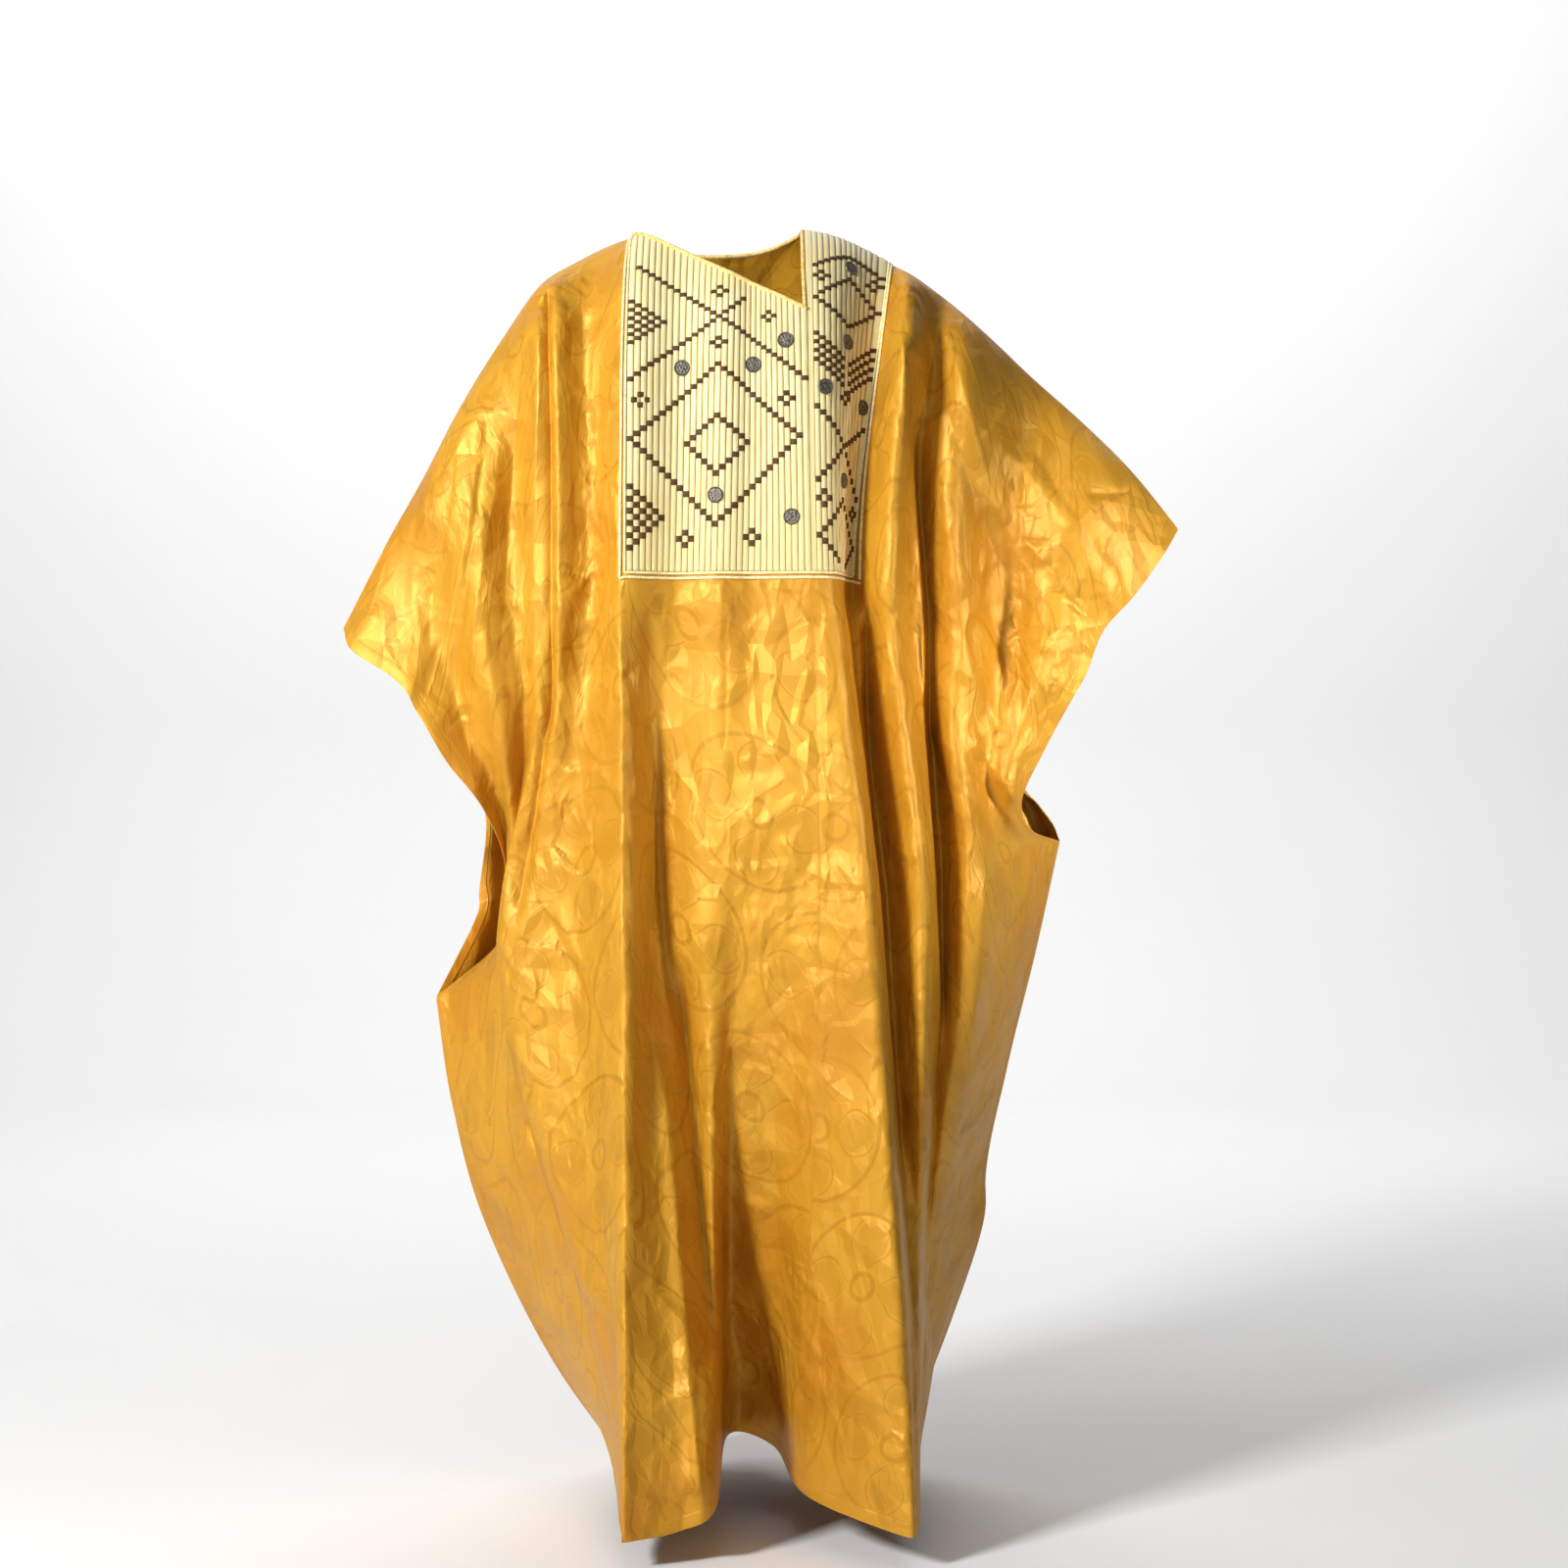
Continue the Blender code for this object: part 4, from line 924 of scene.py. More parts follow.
@dataclass
class MeshParts:
    """Points and faces of a piece, gathered from several surfaces.

    Attributes:
        points: Points of each surface, in metres.
        faces: Corner numbers of every face.
        count: How many points there are so far.
    """

    points: list[np.ndarray] = field(default_factory=list)
    faces: list[list[int]] = field(default_factory=list)
    count: int = 0

    def add(self, points: np.ndarray, faces: np.ndarray | list) -> None:
        """Adds a surface.

        Args:
            points: Its points.
            faces: Its corner numbers, from 0.
        """
        rows = faces.tolist() if isinstance(faces, np.ndarray) else faces
        self.faces += [[corner + self.count for corner in row] for row in rows]
        self.points.append(points.reshape(-1, 3))
        self.count += len(self.points[-1])

    def add_pads(self, points: np.ndarray, side: Side) -> None:
        """Adds small raised pads, all facing as the cloth does.

        Args:
            points: Points by pad, place across and place along.
            side: The panel that they lie on.
        """
        count, wide, tall = points.shape[:3]
        faces = grid_faces(wide, tall)[None] + (np.arange(count) * wide * tall)[:, None, None]
        self.add(points, turned_to(side.outward, points, faces.reshape(-1, 4)))

    def add_tube(self, points: np.ndarray, ring: bool = False) -> None:
        """Adds a tube, with a flat face at each end unless the ends meet.

        Args:
            points: Points by place along and place round.
            ring: Whether the ends meet.
        """
        along, around = points.shape[:2]
        faces = grid_faces(along, around, wrap_a=ring, wrap_b=True)
        flat = points.reshape(-1, 3)
        middle = points.mean(axis=1)[: None if ring else -1].repeat(around, axis=0)
        inward = ((flat[faces].mean(axis=1) - middle) * face_vectors(points, faces)).sum() < 0
        rows = faces.tolist()
        if not ring:
            rows += [list(range(around)), list(range(along * around - 1, (along - 1) * around - 1, -1))]
        self.add(flat, [row[::-1] for row in rows] if inward else rows)

    def link(self, name: str, sharp: float = NEVER_SHARP) -> bpy.types.Object:
        """Makes one smooth object of all that was added.

        Args:
            name: Its name.
            sharp: Angle in degrees from which an edge stays sharp.

        Returns:
            The object.
        """
        mesh = bpy.data.meshes.new(name)
        mesh.from_pydata(np.concatenate(self.points).tolist(), [], self.faces)
        mesh.shade_smooth()
        if sharp < NEVER_SHARP:
            mesh.set_sharp_from_angle(angle=math.radians(sharp))
        return link(name, mesh)


@dataclass(frozen=True)
class Cord:
    """A cord of two twisted strands.

    Attributes:
        radius: Its outer radius, in metres.
        lay: Length of one turn of its strands, in metres.
        step: Distance between the rings of points along it, in metres.
        sides: Points in a ring.
        waist: Radius between the strands, as a part of the outer one.
    """

    radius: float
    lay: float
    step: float
    sides: int = 10
    waist: float = 0.8

    def along(self, route: np.ndarray, ring: bool = False) -> np.ndarray:
        """Points of the cord by place along and place round.

        The radius at angle a and run s is radius · (waist + (1 - waist) |cos(a - 2 pi s / lay)|).

        Args:
            route: Middle line, in rows of three.
            ring: Whether the end meets the start.

        Returns:
            The points.
        """
        ahead = np.roll(route, -1, axis=0) - np.roll(route, 1, axis=0) if ring else np.gradient(route, axis=0)
        ahead = unit(ahead)
        guide = np.where(np.abs(ahead[:, 1:2]) > 0.9, [[0.0, 0.0, 1.0]], [[0.0, 1.0, 0.0]])
        side = unit(np.cross(ahead, guide))
        above = np.cross(side, ahead)
        run = run_lengths(route)
        whole = run[-1]
        turns = run / self.lay
        if ring:
            whole = whole + np.linalg.norm(route[0] - route[-1])
            turns = run / whole * round(whole / self.lay)
        LOG.info("a cord %.3f m long", whole)
        angle = np.linspace(0, 2 * math.pi, self.sides, endpoint=False)
        lobe = np.abs(np.cos(angle[None] - 2 * math.pi * turns[:, None]))
        size = self.radius * (self.waist + (1 - self.waist) * lobe)
        circle = np.cos(angle)[None, :, None] * side[:, None] + np.sin(angle)[None, :, None] * above[:, None]
        return route[:, None] + size[..., None] * circle


@dataclass(frozen=True)
class Hem:
    """A turned hem with a row of short stitches along it, in millimetres.

    Attributes:
        across: How far in from the edge each point of the section lies, out on the outer face and back inside.
        lift: Height of each of those points over the outer face.
        stitch_across: How far in from the edge the points of a stitch lie.
        stitch_along: Where they lie along it.
        stitch_lift: Their heights, by place across and place along.
        pitch: Distance from stitch to stitch.
        margin: Distance of the row's ends from the edge's.
    """

    across: tuple[float, ...] = (14.0, 13.8, 13.0, 8.0, 0.8, 0.0, -0.3, 0.0, 0.8, 8.0, 13.4)
    lift: tuple[float, ...] = (-0.2, 0.12, 0.2, 0.22, 0.22, 0.05, -0.5, -1.1, -1.3, -1.3, -1.2)
    stitch_across: tuple[float, ...] = (10.55, 11.0, 11.45)
    stitch_along: tuple[float, ...] = (-1.5, -0.75, 0.75, 1.5)
    stitch_lift: tuple[tuple[float, ...], ...] = ((0.1, 0.3, 0.3, 0.1), (0.15, 0.6, 0.6, 0.15), (0.1, 0.3, 0.3, 0.1))
    pitch: float = 4.4
    margin: float = 3.0

    def band(
        self, sheet: ClothSheet, columns: np.ndarray, levels: np.ndarray, inward: tuple[float, float]
    ) -> np.ndarray:
        """Section points of the turned band: a flat loop that straddles the cloth and rounds its edge.

        Args:
            sheet: The cloth.
            columns: Fold numbers along the edge.
            levels: Levels along the edge.
            inward: Direction away from the edge, in fold numbers and levels.

        Returns:
            Points by place along the edge and place round the section.
        """
        scale = sheet.stride(columns, levels, inward)[:, None]
        across = np.array(self.across) * MM
        LOG.info("a hem %.2f m long", run_lengths(sheet.at(columns, levels)[0])[-1])
        column, level = columns[:, None] + inward[0] * scale * across, levels[:, None] + inward[1] * scale * across
        return sheet.over(column, level, np.array(self.lift) * MM)

    def stitches(
        self, sheet: ClothSheet, columns: np.ndarray, levels: np.ndarray, inward: tuple[float, float]
    ) -> np.ndarray:
        """Points of the row of stitches along the edge, each a small raised pad.

        Args:
            sheet: The cloth.
            columns: Fold numbers along the edge.
            levels: Levels along the edge.
            inward: Direction away from the edge, in fold numbers and levels.

        Returns:
            Points by stitch, place across and place along.
        """
        run = run_lengths(sheet.at(columns, levels)[0])
        margin = self.margin * MM
        middle = np.arange(margin, run[-1] - margin, self.pitch * MM)[:, None, None]
        along = middle + np.array(self.stitch_along) * MM
        column, level = np.interp(along, run, columns), np.interp(along, run, levels)
        scale = sheet.stride(column, level, inward)
        across = np.array(self.stitch_across)[:, None] * MM
        column, level = column + inward[0] * scale * across, level + inward[1] * scale * across
        return sheet.over(column, level, np.array(self.stitch_lift) * MM)


@dataclass
class Panel:
    """The front or back of the robe: its creased cloth, and the hems that finish its open edges.

    Attributes:
        form: The hanging form.
        node: The solid that it replaces.
        pieces: Each mesh of the cloth: its name, first and last fold number, and the width and area of its cut.
        cells: Cells across, in each span between fixed fold numbers.
        rows: Cells down.
        fixed: Fold numbers that need a column of their own.
        creases: Creases given one by one.
        zones: Patches of crumples.
        seed: Seed of the crumples and the swell.
        length: Length of the cut, in metres; not used.
        hem: The hem round it.
        sheet: The cloth's surface, which the trims need before any mesh is made.
    """

    form: PanelForm
    node: str
    pieces: tuple[tuple[str, float, float, float, float], ...]
    cells: tuple[int, ...]
    rows: int
    fixed: tuple[float, ...]
    creases: tuple[Crease, ...]
    zones: tuple[CrumpleZone, ...]
    seed: int
    length: float = 1.42
    hem: Hem = Hem()
    sheet: ClothSheet = field(init=False)

    def __post_init__(self) -> None:
        """Works out the cloth's surface."""
        creases = list(self.creases) + scatter(self.zones, self.seed)
        self.sheet = weave_sheet(self.form, self.cells, self.rows, creases, self.fixed, self.seed)

    def cloth_uv(self) -> np.ndarray:
        """Place in the flat cloth, in metres: run along each row from the middle, and down each column."""
        points, columns = self.sheet.points, self.sheet.columns
        across, down = (
            np.linalg.norm(np.diff(points, axis=axis, prepend=points.take([0], axis)), axis=-1).cumsum(axis)
            for axis in (0, 1)
        )
        middle = int(np.argmin(np.abs(columns - 0.5 * columns[-1])))
        return np.stack([across - across[middle], down], axis=-1)

    def build(self, cloth: bpy.types.Material) -> None:
        """Makes the panel and its hems.

        Args:
            cloth: Their finish.
        """
        sheet = self.sheet
        uv = self.cloth_uv()
        trims = self.hems(cloth)
        for number, (name, start, end, width, area) in enumerate(self.pieces):
            low, high = np.searchsorted(sheet.columns, (start - FOLD_SLACK, end - FOLD_SLACK))
            span = slice(low, high + 1)
            points = sheet.points[span]
            faces = turned_to(sheet.side.outward, points, grid_faces(*points.shape[:2], kept=sheet.kept[low:high]))
            item = link_mesh(name, points, faces, uv[span], sheet.normals[span])
            dress(item, cloth, GOLDEN_SLOT, self.node)
            whole = np.linalg.norm(face_vectors(points, faces), axis=1).sum() / 2
            rows = [int(np.argmin(np.abs(sheet.levels - level))) for level in LEVELS[1:]]
            widths = ", ".join(f"{run_lengths(points[:, row])[-1]:.3f}" for row in rows)
            LOG.info("   %.3f m2, and %s m wide at the neck, chest, seam and hem", whole, widths)

    def hems(self, finish: bpy.types.Material) -> list[bpy.types.Object]:
        """Makes the turned and stitched hems, along the bottom and down both sides from the sleeve to the seam.

        Args:
            finish: Their finish.

        Returns:
            The bottom, left and right hem.
        """
        columns, levels = self.sheet.columns, self.sheet.levels
        made = []
        for name, column, level, inward in (
            ("hem", columns, np.full(columns.shape, HEM), (0.0, -0.02)),
            ("left_hem", np.zeros(levels.shape), levels, (1.0, 0.0)),
            ("right_hem", np.full(levels.shape, float(self.form.last)), levels, (-1.0, 0.0)),
        ):
            parts = MeshParts()
            parts.add_tube(self.hem.band(self.sheet, column, level, inward))
            parts.add_pads(self.hem.stitches(self.sheet, column, level, inward), self.form.side)
            made.append(parts.link(f"{self.node}_{name}", HEM_SHARP))
            dress(made[-1], finish, GOLDEN_SLOT)
        return made


@dataclass
class Bib:
    """The ribbed bib with its brown checks, studs and edging cords, on the front panel.

    Attributes:
        sheet: The front's surface.
        ribs: Ribs in the left block, and in the divider with the right block.
        rows: Cells above the neck level and below it.
        groove: Height of a groove over the cloth, in metres.
        crest: Height of a rib's crest over the cloth, in metres.
        foot: Height of the bib's outer edges over the cloth, in metres.
        power: Power of a rib's rounding: the lower, the fuller.
        divider: Height of the divider between groove and crest.
        check_half: Half a check's width in ribs, and half its height in rows.
        check_lift: Height of a check over its rib, in metres.
        row_heights: Distances down the bib, in millimetres, at which the height of a row of checks is known.
        row_pitches: Height of a row there, in millimetres.
        cord: The cords of its edging.
        cord_gap: Distance between the two cords of a pair, in metres.
        cord_lift: Height of their middles over the cloth, in metres.
        left_offsets: Places of the left and bottom pairs beyond the bib, in gaps.
        right_offsets: Places of the right pair beyond the bib, in gaps.
        edges: Fold numbers of the grooves between the ribs.
        fine: Fold numbers of the table's rows.
        heights: Heights in metres of the table's columns.
        table: Levels at which each fold number passes each height.
    """

    sheet: ClothSheet
    ribs: tuple[int, int] = (30, 14)
    rows: tuple[int, int] = (30, 126)
    groove: float = 1.0 * MM
    crest: float = 2.3 * MM
    foot: float = 0.2 * MM
    power: float = 0.6
    divider: float = 0.45
    check_half: tuple[float, float] = (0.55, 0.52)
    check_lift: float = 0.55 * MM
    row_heights: tuple[float, ...] = (60, 130, 200, 290, 370)
    row_pitches: tuple[float, ...] = (4.4, 4.6, 5.6, 6.4, 6.5)
    cord: Cord = Cord(radius=1.6 * MM, lay=7 * MM, step=1.1 * MM)
    cord_gap: float = 5.2 * MM
    cord_lift: float = 1.2 * MM
    left_offsets: tuple[float, float] = (0.35, 1.35)
    right_offsets: tuple[float, float] = (0.2, 0.86)
    edges: np.ndarray = field(init=False)
    fine: np.ndarray = field(init=False)
    heights: np.ndarray = field(init=False)
    table: np.ndarray = field(init=False)

    def __post_init__(self) -> None:
        """Shares the width of each block at the chest among its ribs, and tables the level of every height."""
        edges = []
        for (start, end), count in zip(((BIB_LEFT, NECK_POINT), (NECK_POINT, BIB_RIGHT)), self.ribs):
            fine = np.linspace(start, end, BLOCK_STEPS)
            run = run_lengths(self.sheet.at(fine, np.full(fine.shape, CHEST))[0])
            edges.append(np.interp(np.linspace(0, run[-1], count + 1), run, fine))
        self.edges = np.concatenate([edges[0], edges[1][1:]])
        span = np.linspace(SHOULDER, CHEST + TABLE_BELOW, TABLE_LEVELS)
        self.fine = np.linspace(BIB_LEFT, BIB_RIGHT, TABLE_COLUMNS)
        lines = self.sheet.at(*np.meshgrid(self.fine, span, indexing="ij"))[0][..., 2]
        self.heights = np.linspace(TABLE_LOW, 0.0, TABLE_HEIGHTS)
        self.table = np.stack([np.interp(-self.heights, -line, span) for line in lines])

    def column(self, rib: np.ndarray) -> np.ndarray:
        """Fold number at a place counted in ribs from the bib's left side."""
        return np.interp(rib, np.arange(len(self.edges)), self.edges)

    def level(self, column: np.ndarray, height: np.ndarray) -> np.ndarray:
        """Levels at which columns pass heights in metres."""
        return between(self.table, place_in(self.fine, column), place_in(self.heights, height))

    def build(self, cream: bpy.types.Material) -> None:
        """Makes the ribbed cloth.

        A rib's height at part f of its width is groove + (crest - groove) · (4 f (1 - f))^power, and each rib is a
        little uneven along its length, as a stuffed rib is.

        Args:
            cream: Its finish.
        """
        ribs = np.arange(len(self.edges) - 1)
        place = np.append((ribs[:, None] + RIB_PLACES).ravel(), float(len(ribs)))
        part = place - np.floor(place)
        height = self.groove + (self.crest - self.groove) * np.clip(4 * part * (1 - part), 0, 1) ** self.power
        divider = (place >= self.ribs[0]) & (place <= self.ribs[0] + 1)
        height[divider] = self.groove + self.divider * (self.crest - self.groove)
        height[[0, -1]] = self.foot
        above = np.linspace(SHOULDER, NECK, self.rows[0], endpoint=False)
        levels = np.concatenate([above, np.linspace(NECK, CHEST, self.rows[1] + 1), [CHEST + BIB_TURN]])
        columns, levels = self.column(place)[:, None], levels[None]
        lift = np.repeat(height[:, None], levels.size, axis=1)
        lift[:, -1] = self.foot
        run = np.arange(levels.size) / levels.size
        wave = RIB_WAVE * np.sin(2 * math.pi * (run[None] * RIB_WAVES + np.floor(place)[:, None] * RIB_SHIFT))
        lift = lift * (1 + wave * (lift > self.groove * WAVE_FROM))
        grid = self.sheet.over(columns, levels, lift)
        kept = np.ones((columns.size - 1, levels.size - 1), bool)
        kept[columns[:-1, 0] < NECK_POINT - TINY, : self.rows[0]] = False
        faces = turned_to(Side.FRONT.outward, grid, grid_faces(*grid.shape[:2], kept=kept))
        down = self.sheet.over(columns, levels, 0.0)[..., 2]
        uv = np.stack(np.broadcast_arrays(place[:, None], -down / MM), axis=-1)
        dress(link_mesh("bib_ribs", grid, faces, uv), cream, CREAM_SLOT, "bib")

    def checks(self, places: list[tuple[float, float]], thread: bpy.types.Material) -> None:
        """Makes the stitched checks, each over one rib wide and one row high, curved over its rib.

        Args:
            places: Rib and height in metres of each check's middle.
            thread: Finish of the thread.
        """
        rib, middle = np.array(places).T[..., None, None]
        wide, tall = self.check_half
        half = 0.5 * (self.column(rib + wide) - self.column(rib - wide))
        curve = np.clip(1 - (CHECK_BEND * CHECK_ACROSS) ** 2, 0, 1) ** self.power
        top = self.groove + (self.crest - self.groove) * curve + self.check_lift
        lift = np.repeat(top[:, None], len(CHECK_DOWN), axis=1)
        lift[:, [0, -1]] -= self.check_lift
        lift[[0, -1]] -= CHECK_DIP
        pitch = np.interp(-middle / MM, self.row_heights, self.row_pitches) * MM
        columns = self.column(rib) + half * CHECK_ACROSS[:, None]
        columns, heights = np.broadcast_arrays(columns, middle - tall * pitch * CHECK_DOWN)
        parts = MeshParts()
        parts.add_pads(self.sheet.over(columns, self.level(columns, heights), lift), Side.FRONT)
        dress(parts.link("bib_checks", CHECK_SHARP), thread, CREAM_SLOT)

    def studs(self, places: list[tuple[float, float, float]], metal: bpy.types.Material) -> None:
        """Makes the round studs: a domed disc with a raised rim, a raised middle and a ring of eight small bosses.

        Over the crests, the height in millimetres at part r of the radius and angle a is 0.9 + 0.5 hill(0.88, 0.06)
        + 0.45 hill(0.17, 0.07) + 0.45 hill(0.55, 0.12) (1 + cos 8a) / 2, with hill(m, w) = exp(-((r - m) / w)²).

        Args:
            places: Rib, height and radius of each stud, in metres.
            metal: Finish of the studs.
        """
        parts = MeshParts()
        angle = np.linspace(0, 2 * math.pi, 48, endpoint=False)
        rise = 0.9 + 0.5 * hill(STUD_PARTS, 0.88, 0.06) + 0.45 * hill(STUD_PARTS, 0.17, 0.07)
        boss = 0.45 * hill(STUD_PARTS, 0.55, 0.12)
        lift = rise[:, None] + boss[:, None] * (0.5 + 0.5 * np.cos(8 * angle))
        lift[-2], lift[-1] = 0.6, -1.2
        lift = lift * MM + self.crest
        hub_lift = self.crest + 1.1 * MM
        for rib, height, radius in places:
            column = np.array([self.column(rib)])
            (centre,), (out,) = self.sheet.at(column, self.level(column, np.array([height])))
            side = unit(np.cross(out, [0.0, 0.0, 1.0]))
            circle = np.cos(angle)[:, None] * side + np.sin(angle)[:, None] * np.cross(side, out)
            grid = centre + STUD_PARTS[:, None, None] * radius * circle[None] + lift[..., None] * out
            faces = grid_faces(*grid.shape[:2], wrap_b=True)
            rows = faces.tolist() + [[grid.size // 3, i, (i + 1) % len(angle)] for i in range(len(angle))]
            inward = (face_vectors(grid, faces) @ out).sum() < 0
            hub = (centre + out * hub_lift)[None]
            parts.add(np.concatenate([grid.reshape(-1, 3), hub]), [row[::-1] for row in rows] if inward else rows)
        dress(parts.link("bib_studs", STUD_SHARP), metal, CREAM_SLOT)

    def cords(self, pale: bpy.types.Material) -> None:
        """Makes the pairs of cords on the bib's left, right and bottom sides.

        Args:
            pale: Their finish.
        """
        fine = np.linspace(0, 1, 160)
        for name, side, top, away, offsets in (
            ("bib_edge_left", BIB_LEFT, NECK, -1.0, self.left_offsets),
            ("bib_edge_right", BIB_RIGHT, SHOULDER + 0.002, 1.0, self.right_offsets),
        ):
            level = top + fine * (CHEST - top)
            column = np.full(level.shape, side)
            scale = self.sheet.stride(column, level, (away, 0.0))
            # The ends run on past the bib's bottom, as far as the cords that cross them.
            tail = (self.cord_gap / 1.37) * (fine > 0.995)
            beside = self.cord_gap * away * scale
            self.cord_pair(name, pale, [(column + offset * beside, level + offset * tail) for offset in offsets])
        level = np.full(1, CHEST)
        left = self.cord_gap * self.sheet.stride(np.array([BIB_LEFT]), level, (-1.0, 0.0))[0]
        right = self.cord_gap * self.sheet.stride(np.array([BIB_RIGHT]), level, (1.0, 0.0))[0]
        ways = []
        for offset, beyond in zip(self.left_offsets, self.right_offsets):
            column = np.linspace(BIB_LEFT - offset * left, BIB_RIGHT + beyond * right, 200)
            level = np.full(column.shape, CHEST)
            ways.append((column, level + offset * self.cord_gap * 0.2 * self.sheet.stride(column, level, (0.0, 0.2))))
        self.cord_pair("bib_edge_bottom", pale, ways)

    def cord_pair(self, node: str, pale: bpy.types.Material, ways: list[tuple[np.ndarray, np.ndarray]]) -> None:
        """Makes the cords of one side, each along its row of fold numbers and levels."""
        parts = MeshParts()
        for column, level in ways:
            route = spaced(self.sheet.over(column, level, self.cord_lift), self.cord.step)
            parts.add_tube(self.cord.along(route))
        dress(parts.link(f"{node}_cords"), pale, CORD_SLOT, node)


@dataclass(frozen=True)
class NeckPiping:
    """The cord round the neck opening, in the opening beside the cloth's edge.

    Attributes:
        front: The front's surface.
        back: The back's surface.
        cord: The cord.
        lift: Height of the cord's own edge over the front, in metres.
        nape_lift: Height of that edge over the back.
    """

    front: ClothSheet
    back: ClothSheet
    cord: Cord = Cord(radius=2.4 * MM, lay=9 * MM, step=1.3 * MM)
    lift: float = 0.9 * MM
    nape_lift: float = -0.2 * MM

    def route(self) -> np.ndarray:
        """The cord's middle line: down the slanting edge, up beside the neck point, and behind the neck."""
        across, up = np.eye(3)[[0, 2]] * self.cord.radius
        slant = self.front.over(np.linspace(BIB_LEFT, NECK_POINT, 90), NECK, self.lift) + up
        rise = self.front.over(NECK_POINT, np.linspace(NECK, SHOULDER, 50)[1:-2], self.lift) - across
        ends = [fold_number(BACK_FOLDS, name) for name in ("right_back_hollow", "left_back_hollow")]
        nape = self.back.over(np.linspace(*ends, 80)[2:-2], SHOULDER, self.nape_lift) + up
        way = np.concatenate([slant, rise, nape])
        return spaced(np.concatenate([way, way[:1]]), self.cord.step)[:-1]

    def build(self, golden: bpy.types.Material) -> None:
        """Makes the piping."""
        parts = MeshParts()
        parts.add_tube(self.cord.along(self.route(), ring=True), ring=True)
        dress(parts.link("neck_piping_cord"), golden, PIPING_SLOT, "neck_piping")


@dataclass(frozen=True)
class Bench:
    """Lays out the nodes of one material.

    Attributes:
        tree: The material's node tree, empty at first.
    """

    tree: bpy.types.NodeTree

    def add(self, kind: str, inputs: dict | None = None, **settings: object) -> bpy.types.Node:
        """Adds a node.

        Args:
            kind: The node's type name, without the words ShaderNode.
            inputs: Values or sockets for its inputs, by name or number.
            settings: Its own settings.

        Returns:
            The node.
        """
        node = self.tree.nodes.new(f"ShaderNode{kind}")
        for name, value in settings.items():
            setattr(node, name, value)
        for name, value in (inputs or {}).items():
            if isinstance(value, bpy.types.NodeSocket):
                self.tree.links.new(value, node.inputs[name])
            else:
                node.inputs[name].default_value = value
        return node

    def math(self, operation: str, *values: object) -> bpy.types.NodeSocket:
        """A sum worked out on numbers or sockets."""
        return self.add("Math", dict(enumerate(values)), operation=operation).outputs[0]

    def times(self, first: object, second: object) -> bpy.types.NodeSocket:
        """The product of two numbers or sockets."""
        return self.math("MULTIPLY", first, second)

    def less(self, first: object, second: object) -> bpy.types.NodeSocket:
        """The first number or socket less the second."""
        return self.math("SUBTRACT", first, second)

    def step(self, value: bpy.types.NodeSocket, low: float, high: float) -> bpy.types.NodeSocket:
        """0 below `low`, 1 above `high`, and smooth between; turned round where `low` is the larger."""
        return self.add("MapRange", {0: value, 1: low, 2: high}, interpolation_type="SMOOTHSTEP").outputs[0]

    def belt(self, value: bpy.types.NodeSocket, rise: tuple[float, float], fall: tuple[float, float]) -> object:
        """1 between two limits, easing up over `rise` and down over `fall`."""
        return self.times(self.step(value, *rise), self.step(value, *fall[::-1]))

    def noise(self, place: bpy.types.NodeSocket, scale: float, detail: float, rough: float = 0.5) -> object:
        """Smooth noise from 0 to 1."""
        inputs = {"Vector": place, "Scale": scale, "Detail": detail, "Roughness": rough}
        return self.add("TexNoise", inputs).outputs[0]

    def blend(self, part: object, first: object, second: object) -> bpy.types.NodeSocket:
        """A colour part of the way between two colours."""
        full = [(*value, 1.0) if isinstance(value, tuple) else value for value in (first, second)]
        return self.add("Mix", {0: part, 6: full[0], 7: full[1]}, data_type="RGBA").outputs[2]

    def bump(self, height: bpy.types.NodeSocket, distance: float, under: object = None) -> bpy.types.NodeSocket:
        """A bump of a height map, over another bump where one is given."""
        inputs = {"Height": height, "Distance": distance, "Strength": 1.0}
        return self.add("Bump", {**inputs, "Normal": under} if under else inputs).outputs[0]

    def surface(self, **inputs: object) -> None:
        """Adds the shader, with the given inputs, and joins it to the output."""
        shader = self.add("BsdfPrincipled", {name.replace("_", " "): value for name, value in inputs.items()})
        self.add("OutputMaterial", {0: shader.outputs[0]})


def new_material(name: str) -> tuple[bpy.types.Material, Bench, bpy.types.NodeSocket]:
    """Starts a node material.

    Args:
        name: Its name.

    Returns:
        The material, its bench, and the place on the piece for its noises.
    """
    material = bpy.data.materials.new(name)
    material.use_nodes = True
    material.node_tree.nodes.clear()
    bench = Bench(material.node_tree)
    return material, bench, bench.add("TexCoord").outputs["Object"]


